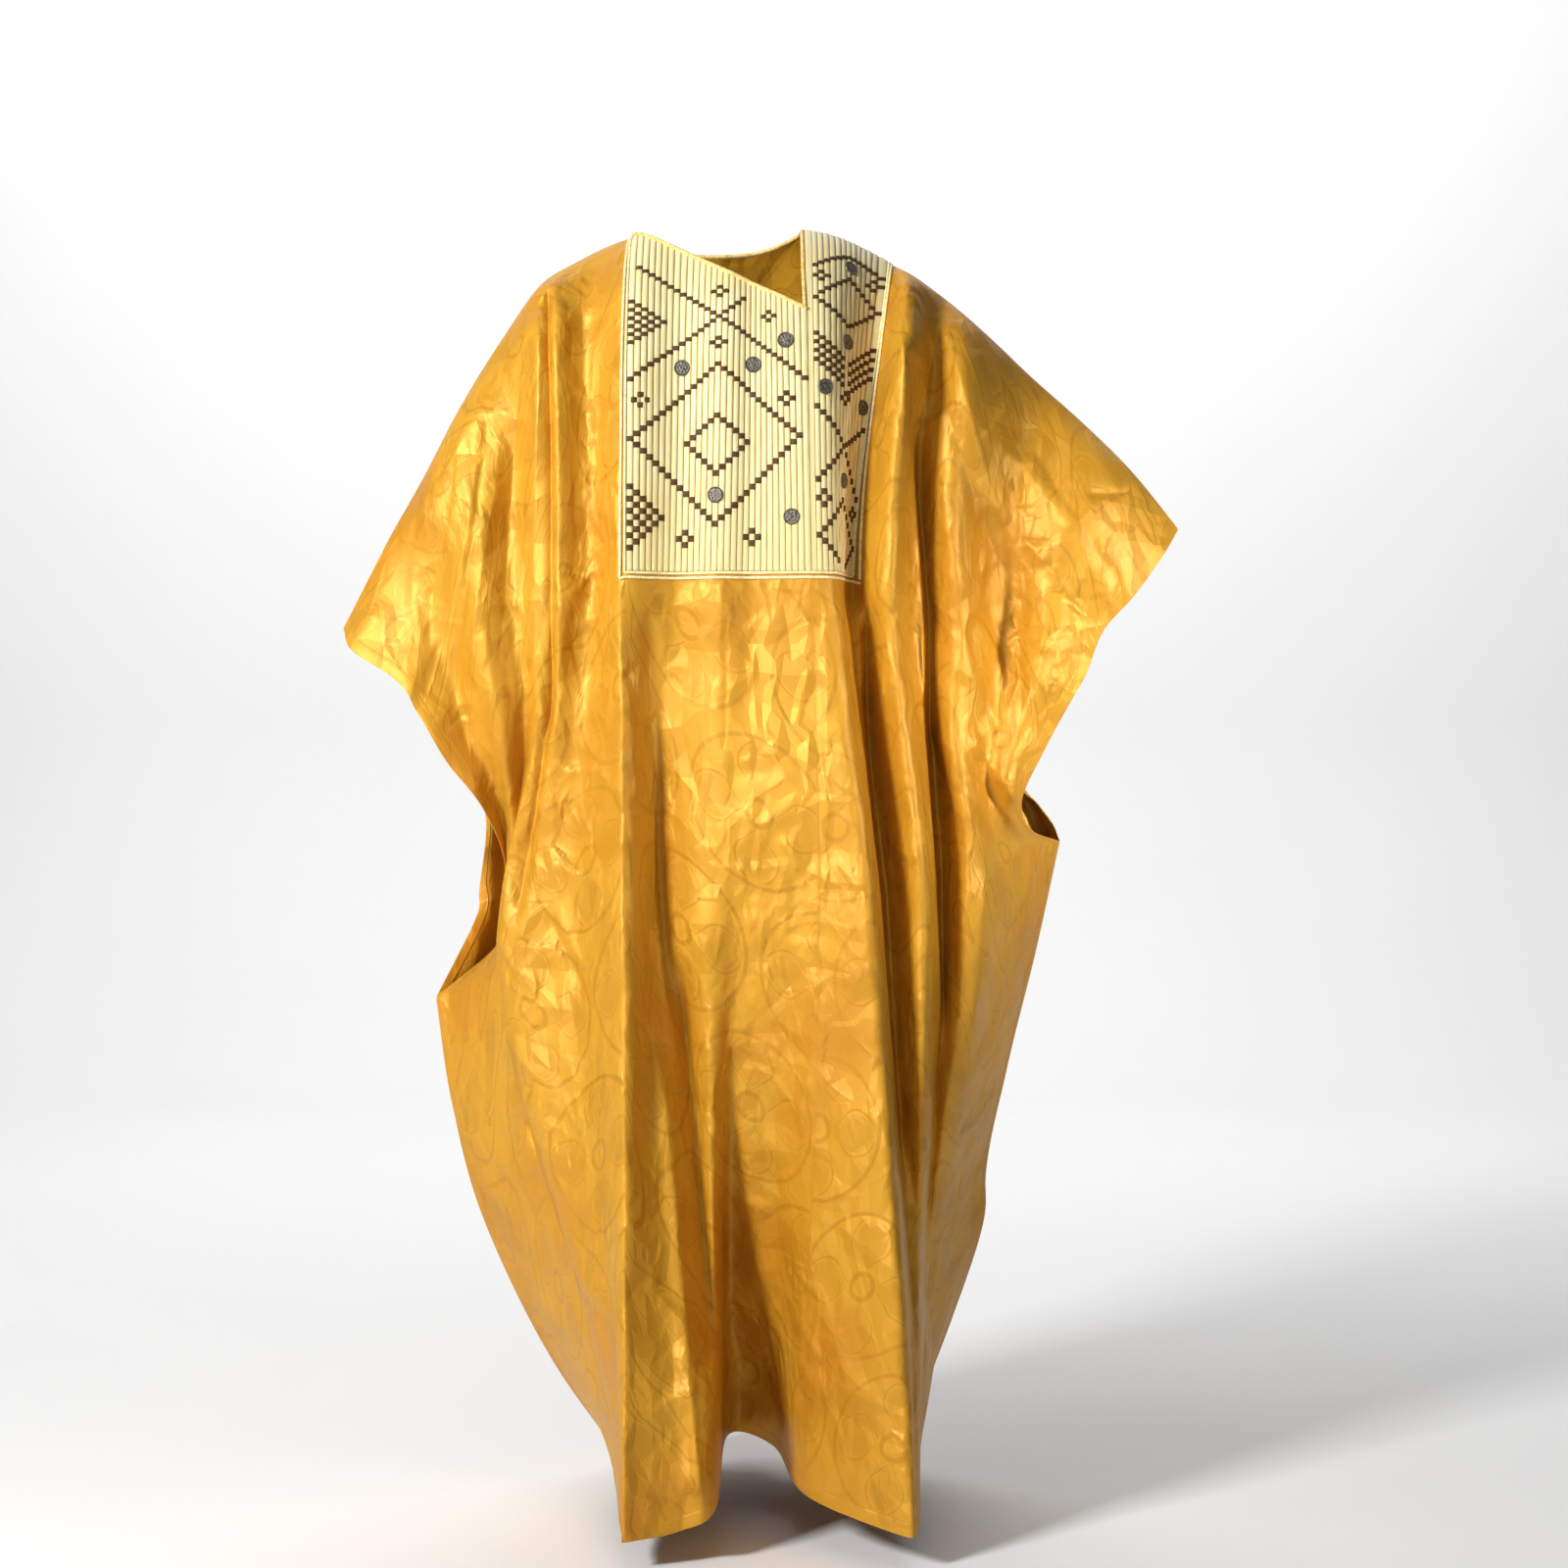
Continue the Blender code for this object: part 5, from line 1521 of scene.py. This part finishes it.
@dataclass(frozen=True)
class Crush:
    """One size of pressed-in crumples: sharp cells, turned and stretched, as a bump on part of the cloth.

    Attributes:
        turn: Turn of the cells about the three axes, in radians.
        stretch: Scale of the cells along the three axes.
        scale: Cells in a metre.
        rise: Height of the bump, in metres.
        patches: Scale of the patches that hold it, and where their noise starts and ends; none for all of the cloth.
    """

    turn: tuple[float, float, float]
    stretch: tuple[float, float, float]
    scale: float
    rise: float
    patches: tuple[float, float, float] | None = None

    def over(self, bench: Bench, place: object, bent: object, under: object) -> bpy.types.NodeSocket:
        """Adds it over the bump below.

        Args:
            bench: The material's bench.
            place: Place on the piece, for the patches.
            bent: The same place, bent a little, for the cells.
            under: The bump below, or none.

        Returns:
            The bump.
        """
        turned = bench.add("Mapping", {"Vector": bent, "Rotation": self.turn, "Scale": self.stretch}).outputs[0]
        cells = bench.add("TexVoronoi", {"Vector": turned, "Scale": self.scale}, feature="F1", distance="CHEBYCHEV")
        height = cells.outputs[0]
        if self.patches:
            scale, low, high = self.patches
            height = bench.times(height, bench.step(bench.noise(place, scale, 1.0), low, high))
        return bench.bump(height, self.rise, under)


@dataclass(frozen=True)
class Damask:
    """Glossy starched damask with a woven tone-on-tone pattern of rings and petals, and crushed-in crumples.

    Attributes:
        ground: Colour of the ground weave.
        figure: Colour of the woven figure.
        deep: Colour that the slow changes of hue run to.
        roughness: Roughness of the ground and of the figure.
        tile: Size of one repeat of the pattern, in millimetres.
        crushes: The sizes of crumples, large to small.
    """

    ground: Colour = (0.59, 0.288, 0.018)
    figure: Colour = (0.505, 0.23, 0.012)
    deep: Colour = (0.535, 0.222, 0.012)
    roughness: tuple[float, float] = (0.51, 0.43)
    tile: tuple[float, float] = (172.0, 158.0)
    crushes: tuple[Crush, ...] = (
        Crush((0.7, 0.5, 0.9), (1.0, 0.7, 1.3), 9.0, 0.0115),
        Crush((0.3, 1.1, 0.4), (1.4, 1.0, 0.7), 24.0, 0.0062, (7.0, 0.14, 0.54)),
        Crush((1.2, 0.2, 0.8), (1.0, 1.3, 0.6), 62.0, 0.0022, (11.0, 0.42, 0.64)),
    )

    def motif(self, bench: Bench, across: object, down: object) -> bpy.types.NodeSocket:
        """The woven figure: 1 on the figure and 0 on the ground.

        Each repeat, laid like bricks, holds a small ring, four pointed petals with an outline, and a thin outer
        circle. With r the distance from the middle in millimetres and a the angle, a petal is where
        cos(4a) + 1.25 sin(pi (r - 21) / 50) passes 1, and its outline is where the sum passes 0.7.

        Args:
            bench: The material's bench.
            across: Place across the cloth, in metres.
            down: Place down the cloth, in metres.

        Returns:
            The figure.
        """
        wide, tall = self.tile
        row = bench.math("DIVIDE", down, tall * MM)
        brick = bench.times(bench.math("FLOOR", row), 0.5)
        column = bench.math("ADD", bench.math("DIVIDE", across, wide * MM), brick)
        x = bench.times(bench.less(bench.math("FRACT", column), 0.5), wide)
        y = bench.times(bench.less(bench.math("FRACT", row), 0.5), tall)
        radius = bench.math("SQRT", bench.math("ADD", bench.times(x, x), bench.times(y, y)))
        angle = bench.math("ARCTAN2", y, x)
        wave = bench.times(bench.math("SINE", bench.times(bench.less(radius, 21.0), math.pi / 50)), 1.25)
        total = bench.math("ADD", wave, bench.math("COSINE", bench.times(angle, 4.0)))
        fill = bench.times(bench.step(total, 1.0, 1.25), 0.5)
        outline = bench.belt(total, (0.62, 0.74), (0.82, 0.92))
        petal = bench.times(bench.math("MAXIMUM", fill, outline), bench.belt(radius, (19.0, 21.0), (71.0, 73.0)))
        ring = bench.belt(radius, (10.5, 12.0), (16.0, 17.5))
        circle = bench.belt(radius, (74.5, 76.0), (79.0, 80.5))
        return bench.math("MAXIMUM", petal, bench.math("MAXIMUM", ring, circle))

    def make(self) -> bpy.types.Material:
        """Makes the material."""
        material, bench, place = new_material("golden_damask")
        flat = bench.add("SeparateXYZ", {0: bench.add("UVMap", uv_map=CLOTH_MAP).outputs[0]})
        motif = self.motif(bench, flat.outputs[0], flat.outputs[1])
        colour = bench.blend(motif, self.ground, self.figure)
        colour = bench.blend(bench.step(bench.noise(place, 5.0, 2.0), 0.42, 0.75), colour, self.deep)
        rough = bench.math("MULTIPLY_ADD", motif, self.roughness[1] - self.roughness[0], self.roughness[0])
        cloud = bench.less(bench.noise(place, 34.0, 3.0, 0.6), 0.5)
        rough = bench.math("ADD", rough, bench.times(cloud, 0.16))
        shift = bench.add("TexNoise", {"Vector": place, "Scale": 8.0, "Detail": 1.0}).outputs[1]
        bent = bench.add("VectorMath", {0: shift, 1: (0.04, 0.04, 0.04), 2: place}, operation="MULTIPLY_ADD")
        normal = None
        for crush in self.crushes:
            normal = crush.over(bench, place, bent.outputs[0], normal)
        normal = bench.bump(motif, 0.00011, normal)
        normal = bench.bump(bench.noise(place, 900.0, 1.0), 0.0001, normal)
        bench.surface(
            Base_Color=colour, Roughness=rough, Normal=normal, Metallic=0.22, Specular_Tint=(1.0, 0.95, 0.74, 1.0),
            Coat_Weight=0.05, Coat_Roughness=0.36, Coat_Tint=(1.0, 0.96, 0.8, 1.0), Specular_IOR_Level=0.42,
        )
        return material


@dataclass(frozen=True)
class RibThread:
    """Satin stitching laid across each rib, with painted shade in the gaps between the ribs.

    Attributes:
        crest: Colour on the ribs' crests, the stitching with a painted highlight.
        side: Colour on the ribs' sides as painted shade, blended in towards the bib's foot as painted shade, and in
            random patches where the stitching is yellower.
        gap: Colour between the ribs, painted shade in the grooves.
    """

    crest: Colour = (0.82, 0.73, 0.40)
    side: Colour = (0.72, 0.56, 0.21)
    gap: Colour = (0.21, 0.135, 0.034)

    def make(self) -> bpy.types.Material:
        """Makes the material. The first number of the flat place counts ribs, and the second is millimetres down."""
        material, bench, place = new_material("cream_ribs")
        flat = bench.add("SeparateXYZ", {0: bench.add("UVMap", uv_map=CLOTH_MAP).outputs[0]})
        rib, down = flat.outputs[0], flat.outputs[1]
        off = bench.math("ABSOLUTE", bench.less(bench.math("FRACT", rib), 0.5))
        # Painted highlight on each rib's crest, turning to painted shade down its sides.
        shade = bench.blend(bench.step(off, 0.22, 0.44), self.crest, self.side)
        shade = bench.blend(bench.times(bench.step(bench.noise(place, 22.0, 2.0), 0.4, 0.7), 0.45), shade, self.side)
        # Painted shade: the bib grows darker towards its foot.
        shade = bench.blend(bench.times(bench.step(down, 190.0, 400.0), 0.55), shade, self.side)
        # Painted shade in the grooves between the ribs.
        colour = bench.blend(bench.step(off, 0.42, 0.475), shade, self.gap)
        lines = bench.math("SINE", bench.times(down, 2 * math.pi / 0.9))
        normal = bench.bump(bench.math("MULTIPLY_ADD", lines, 0.5, 0.5), 0.00012)
        normal = bench.bump(bench.noise(place, 1200.0, 1.0), 0.0001, normal)
        bench.surface(
            Base_Color=colour, Roughness=0.46, Normal=normal, Sheen_Weight=0.15, Sheen_Roughness=0.35,
            Coat_Weight=0.1, Coat_Roughness=0.35,
        )
        return material


@dataclass(frozen=True)
class Thread:
    """Plain thread, cord or metal: one colour with uneven shade and a fine lay.

    Attributes:
        name: The material's name.
        colour: Its usual colour.
        shade: The colour of its worn or shaded places.
        roughness: Its roughness.
        metal: How metallic it is.
        scale: Scale of the uneven shade.
        shine: How much light it mirrors.
    """

    name: str
    colour: Colour
    shade: Colour
    roughness: float
    metal: float = 0.0
    scale: float = 260.0
    shine: float = 0.5

    def make(self) -> bpy.types.Material:
        """Makes the material."""
        material, bench, place = new_material(self.name)
        cloud = bench.noise(place, self.scale, 2.0)
        colour = bench.blend(bench.step(cloud, 0.38, 0.66), self.colour, self.shade)
        normal = bench.bump(bench.noise(place, 1500.0, 2.0), 0.0002)
        bench.surface(
            Base_Color=colour, Roughness=self.roughness, Normal=normal, Metallic=self.metal,
            Sheen_Weight=0.2 * self.shine, Specular_IOR_Level=self.shine,
        )
        return material


BROWN = Thread("brown_thread", (0.110, 0.060, 0.022), (0.060, 0.032, 0.013), 0.7, shine=0.12)
METAL = Thread("stud_metal", (0.155, 0.135, 0.102), (0.045, 0.038, 0.029), 0.45, 0.5, 420.0)
PALE = Thread("pale_cord", (0.90, 0.80, 0.45), (0.76, 0.62, 0.26), 0.5)
GOLDEN = Thread("golden_piping", (0.84, 0.62, 0.22), (0.66, 0.42, 0.10), 0.45)


@dataclass(frozen=True)
class Floor:
    """The plain pale floor: a flat run, a quarter circle of 1 m radius, and a wall well behind the robe.

    Attributes:
        height: Height of the flat run, in metres.
        bend: How far back the wall's curve starts, in metres.
        colour: Its colour.
    """

    height: float = -1.405
    bend: float = 4.2
    colour: Colour = (0.86, 0.86, 0.86)

    def build(self) -> None:
        """Makes the floor."""
        turn = np.linspace(0, 0.5 * math.pi, 24)
        curve = np.stack([self.bend + np.sin(turn), self.height + 1 - np.cos(turn)], axis=-1)
        run = np.concatenate([[[-7.0, self.height]], curve, [[self.bend + 1, 6.0]]])
        points = np.empty((8, len(run), 3))
        points[..., 0] = np.linspace(-9.0, 9.0, 8)[:, None]
        points[..., 1:] = run
        item = link_mesh("floor", points, grid_faces(8, len(run)))
        material, bench, place = new_material("floor_paper")
        soft = bench.blend(bench.noise(place, 1.5, 2.0), self.colour, tuple(0.97 * part for part in self.colour))
        bench.surface(Base_Color=soft, Roughness=0.8)
        item.data.materials.append(material)


@dataclass(frozen=True)
class SoftLight:
    """A rectangular light that looks from one place at another.

    Attributes:
        name: Its name.
        place: Where it stands, in metres.
        aim: What it looks at, in metres.
        size: Its width and height, in metres.
        power: Its power in watts.
        spread: Angle that its light fans out over, in degrees.
    """

    name: str
    place: tuple[float, float, float]
    aim: tuple[float, float, float]
    size: tuple[float, float]
    power: float
    spread: float = 180.0

    def add(self) -> None:
        """Adds it to the scene."""
        lamp = bpy.data.lights.new(self.name, "AREA")
        lamp.shape = "RECTANGLE"
        lamp.size, lamp.size_y = self.size
        lamp.energy = self.power
        lamp.spread = math.radians(self.spread)
        item = link(self.name, lamp)
        item.location = self.place
        item.rotation_euler = (Vector(self.aim) - Vector(self.place)).to_track_quat("-Z", "Y").to_euler()


LIGHTS = (
    SoftLight("key", (-2.1, -2.5, 0.75), (0.0, 0.0, -0.5), (0.6, 0.6), 147.0),
    SoftLight("fill", (0.5, -3.6, 0.1), (0.0, 0.0, -0.65), (1.0, 1.0), 8.0),
    SoftLight("side", (2.3, -1.4, 0.0), (0.32, 0.0, -0.52), (0.3, 0.3), 0.9, 17.0),
    SoftLight("left_sleeve", (-2.7, -1.2, 0.15), (-0.28, 0.0, -0.28), (0.9, 0.9), 1.1, 34.0),
    SoftLight("top", (-0.2, -1.4, 2.6), (0.0, 0.0, -0.65), (1.2, 1.0), 10.0),
    SoftLight("backdrop", (0.0, 2.4, 3.0), (0.0, 5.0, -0.9), (6.0, 1.0), 190.0),
)
SURROUNDINGS = 0.07
CAMERA_PLACE, CAMERA_SENSOR, CAMERA_LENS = (0.0696, -3.2, -0.599), 36.0, 67.3


def set_studio() -> None:
    """Adds the floor, the lights, the pale surroundings and the camera."""
    Floor().build()
    for light in LIGHTS:
        light.add()
    world = bpy.data.worlds.new("surroundings")
    world.use_nodes = True
    background = world.node_tree.nodes["Background"]
    background.inputs[0].default_value = (1.0, 1.0, 1.0, 1.0)
    background.inputs[1].default_value = SURROUNDINGS
    bpy.context.scene.world = world
    bpy.context.scene.view_settings.view_transform = "Standard"
    lens = bpy.data.cameras.new("camera")
    lens.sensor_width, lens.lens = CAMERA_SENSOR, CAMERA_LENS
    camera = link("camera", lens)
    camera.location = CAMERA_PLACE
    camera.rotation_euler = (0.5 * math.pi, 0.0, 0.0)
    bpy.context.scene.camera = camera


# Heights, in millimetres, of the rows of checks on the middle rib of the left block.
CHART_ROWS = ((0.0, -47.0), (13.2, -108.0), (24.7, -159.0), (38.7, -236.0), (52.7, -326.6), (59.5, -370.6))
CHART_TILT = ((13.0, -0.26), (39.0, -0.11), (53.0, 0.0))
CHART_MIDDLE = 14
# Steps in ribs and rows to the four checks of a small cross.
CROSS_STEPS = ((-1, 0), (1, 0), (0, -1), (0, 1))

# The left block, in (rib, row): the ends of straight runs of checks, which make the crossing and the large and small
# lozenges, the middles of small crosses, the middle rows of the triangles at the left side, and the studs.
LEFT_RUNS = (
    ((1, 0.4), (29, 28)), ((0, 27.2), (18, 9.2)), ((14, 24.7), (0, 38.7)), ((14, 24.7), (28, 38.7)),
    ((0, 38.7), (14, 52.7)), ((28, 38.7), (14, 52.7)), ((14, 34.5), (9, 39.5)), ((14, 34.5), (19, 39.5)),
    ((9, 39.5), (14, 44.5)), ((19, 39.5), (14, 44.5)),
)
LEFT_CROSSES = ((14, 7.2), (23, 13.7), (14, 19.5), (1.5, 31.2), (26, 31.7), (9, 55), (20, 54.8))
LEFT_TRIANGLES, TRIANGLE_RIBS = (13.8, 51.6), 6
LEFT_STUDS = ((8, 25.0), (20, 25.0), (26, 19.7), (14, 48.0), (26.5, 51.6))

# Middle of the right block's first rib.
RIGHT_START = 31.5
RIGHT_LINES = (
    (0, (-49.4, -46, -43, -40, -38, -36.4, -36, -37.6, -40.4, -43.6, -46.8, -50.4, -55.4)),
    (0, (-86.5, -80.6, -75.8, -72, -68.6, -65.2, -62, -66.5, -72.2, -77.6, -83.6, -89.8, -95.7)),
    (1, (-91, -95.4, -100, -104.8, -110, -114.9, -113.6, -110.6, -107.6, -104.4, -100.4)),
    (0, (-203.5, -209.8, -216.2, -222.6, -229.4, -236.4, -243, -240.6, -238, -235, -231.6, -227.4, -222.4)),
    (0, (-280, -273.2, -266.8, -260.6, -254.6, -249)),
    (7, (-251.6, -260, -268.6, -277.6, -286.8, -296)),
    (0, (-338.4, -331.6, -325, -318.4, -311.8, -305.6, -300, -308, -316.6, -325, -333.4, -341.4, -348.6)),
    (1, (-344.6, -351.2, -357.8, -363.8)),
    (8, (-368.4, -363.4, -358.8, -354)),
)
# Rib, height, and half the height in millimetres of each small cross of four checks.
RIGHT_CROSSES = ((1, -61.4, 4.3), (11, -65.2, 4.9), (6, -192.6, 5.0), (1, -299.5, 6.8), (11, -312, 5.2))
# Height of the first check, fall for each rib and fall for each row of the two halves of the chevron.
CHEVRON_HALVES = ((0, 1, -126.2, -4.9, -9.3), (12, -1, -137.0, -3.8, -10.2))
CHEVRON_RIBS, CHEVRON_ROWS = 6, 4
# Rib and height in millimetres of each stud.
RIGHT_STUDS = ((6.3, -48.5), (6.0, -132.5), (1.4, -183), (11.2, -198.6), (6.2, -279))


def run_places(start: tuple[float, float], end: tuple[float, float]) -> list[tuple[float, float]]:
    """Args:
        start: Its first (rib, row).
        end: Its last.

    Returns:
        The (rib, row) of each check.
    """
    count = round(max(abs(end[0] - start[0]), abs(end[1] - start[1])))
    part = np.linspace(0, 1, count + 1)
    ribs, rows = (start[axis] + part * (end[axis] - start[axis]) for axis in (0, 1))
    return list(zip(ribs.tolist(), rows.tolist()))


def left_height(rib: float, row: float) -> float:
    """Height in metres of a check of the left block."""
    rows, heights = np.array(CHART_ROWS).T
    at, tilt = np.array(CHART_TILT).T
    return float(np.interp(row, rows, heights) - 1.03 * np.interp(row, at, tilt) * (rib - CHART_MIDDLE)) * MM


def chart_checks() -> list[tuple[float, float]]:
    """Every check of the bib, as its rib and its height in metres."""
    places = [place for run in LEFT_RUNS for place in run_places(*run)]
    places += [(rib + step, row + fall) for rib, row in LEFT_CROSSES for step, fall in CROSS_STEPS]
    for middle in LEFT_TRIANGLES:
        for column in range(TRIANGLE_RIBS):
            count = TRIANGLE_RIBS - column
            places += [(column, middle + (2 * number - count + 1)) for number in range(count)]
    found = [(rib + 0.5, left_height(rib, row)) for rib, row in places]
    for first, line in RIGHT_LINES:
        found += [(RIGHT_START + first + step, height * MM) for step, height in enumerate(line)]
    for rib, height, half in RIGHT_CROSSES:
        found += [(RIGHT_START + rib + step, (height - fall * half) * MM) for step, fall in CROSS_STEPS]
    for first, way, top, for_rib, for_row in CHEVRON_HALVES:
        for column, number in np.ndindex(CHEVRON_RIBS, CHEVRON_ROWS):
            height = (top + for_rib * column + for_row * number) * MM
            found.append((RIGHT_START + first + way * column, height))
    unique: list[tuple[float, float]] = []
    for rib, height in found:
        if not any(abs(rib - r) < 0.5 and abs(height - h) < CHECK_APART for r, h in unique):
            unique.append((rib, height))
    return unique


def chart_studs() -> list[tuple[float, float, float]]:
    """Every stud of the bib, as its rib, its height and its radius in metres."""
    found = [(rib + 0.5, left_height(rib, row), 8.6 * MM) for rib, row in LEFT_STUDS]
    return found + [(RIGHT_START + rib, height * MM, 8.4 * MM) for rib, height in RIGHT_STUDS]


def main() -> None:
    """Makes the robe piece by piece, then the studio round it."""
    logging.basicConfig(level=logging.INFO, format="%(name)s %(message)s")
    cloth = Damask().make()
    front_form = PanelForm(
        Side.FRONT, FRONT_FOLDS, FRONT_SHOULDER,
        ((LEFT_FRONT_EDGE, LEFT_SEAM), (RIGHT_FRONT_EDGE, RIGHT_SEAM)), ("left_lobe_ridge", "bib_right_hollow"),
    )
    back_form = PanelForm(
        Side.BACK, BACK_FOLDS, BACK_SHOULDER,
        ((LEFT_BACK_EDGE, LEFT_SEAM), (RIGHT_BACK_EDGE, RIGHT_SEAM)), ("left_shoulder_ridge", "right_sleeve_hollow"),
    )
    front = Panel(
        front_form, "front_panel",
        (
            ("front_left_cloth", 0, BIB_LEFT, 0.62, 0.42),
            ("front_right_cloth", BIB_LEFT, front_form.last, 1.04, 1.0),
        ),
        FRONT_CELLS, FRONT_ROWS, (BIB_LEFT, NECK_POINT, BIB_RIGHT), FRONT_CREASES, FRONT_CRUMPLES, seed=3,
    )
    back = Panel(
        back_form, "back_panel", (("back_cloth", 0, back_form.last, 1.30, 1.35),),
        BACK_CELLS, BACK_ROWS, (), BACK_CREASES, BACK_CRUMPLES, seed=5,
    )
    front.build(cloth)
    back.build(cloth)
    bib = Bib(front.sheet)
    bib.build(RibThread().make())
    bib.checks(chart_checks(), BROWN.make())
    bib.studs(chart_studs(), METAL.make())
    bib.cords(PALE.make())
    NeckPiping(front.sheet, back.sheet).build(GOLDEN.make())
    set_studio()


if __name__ == "__main__":
    main()
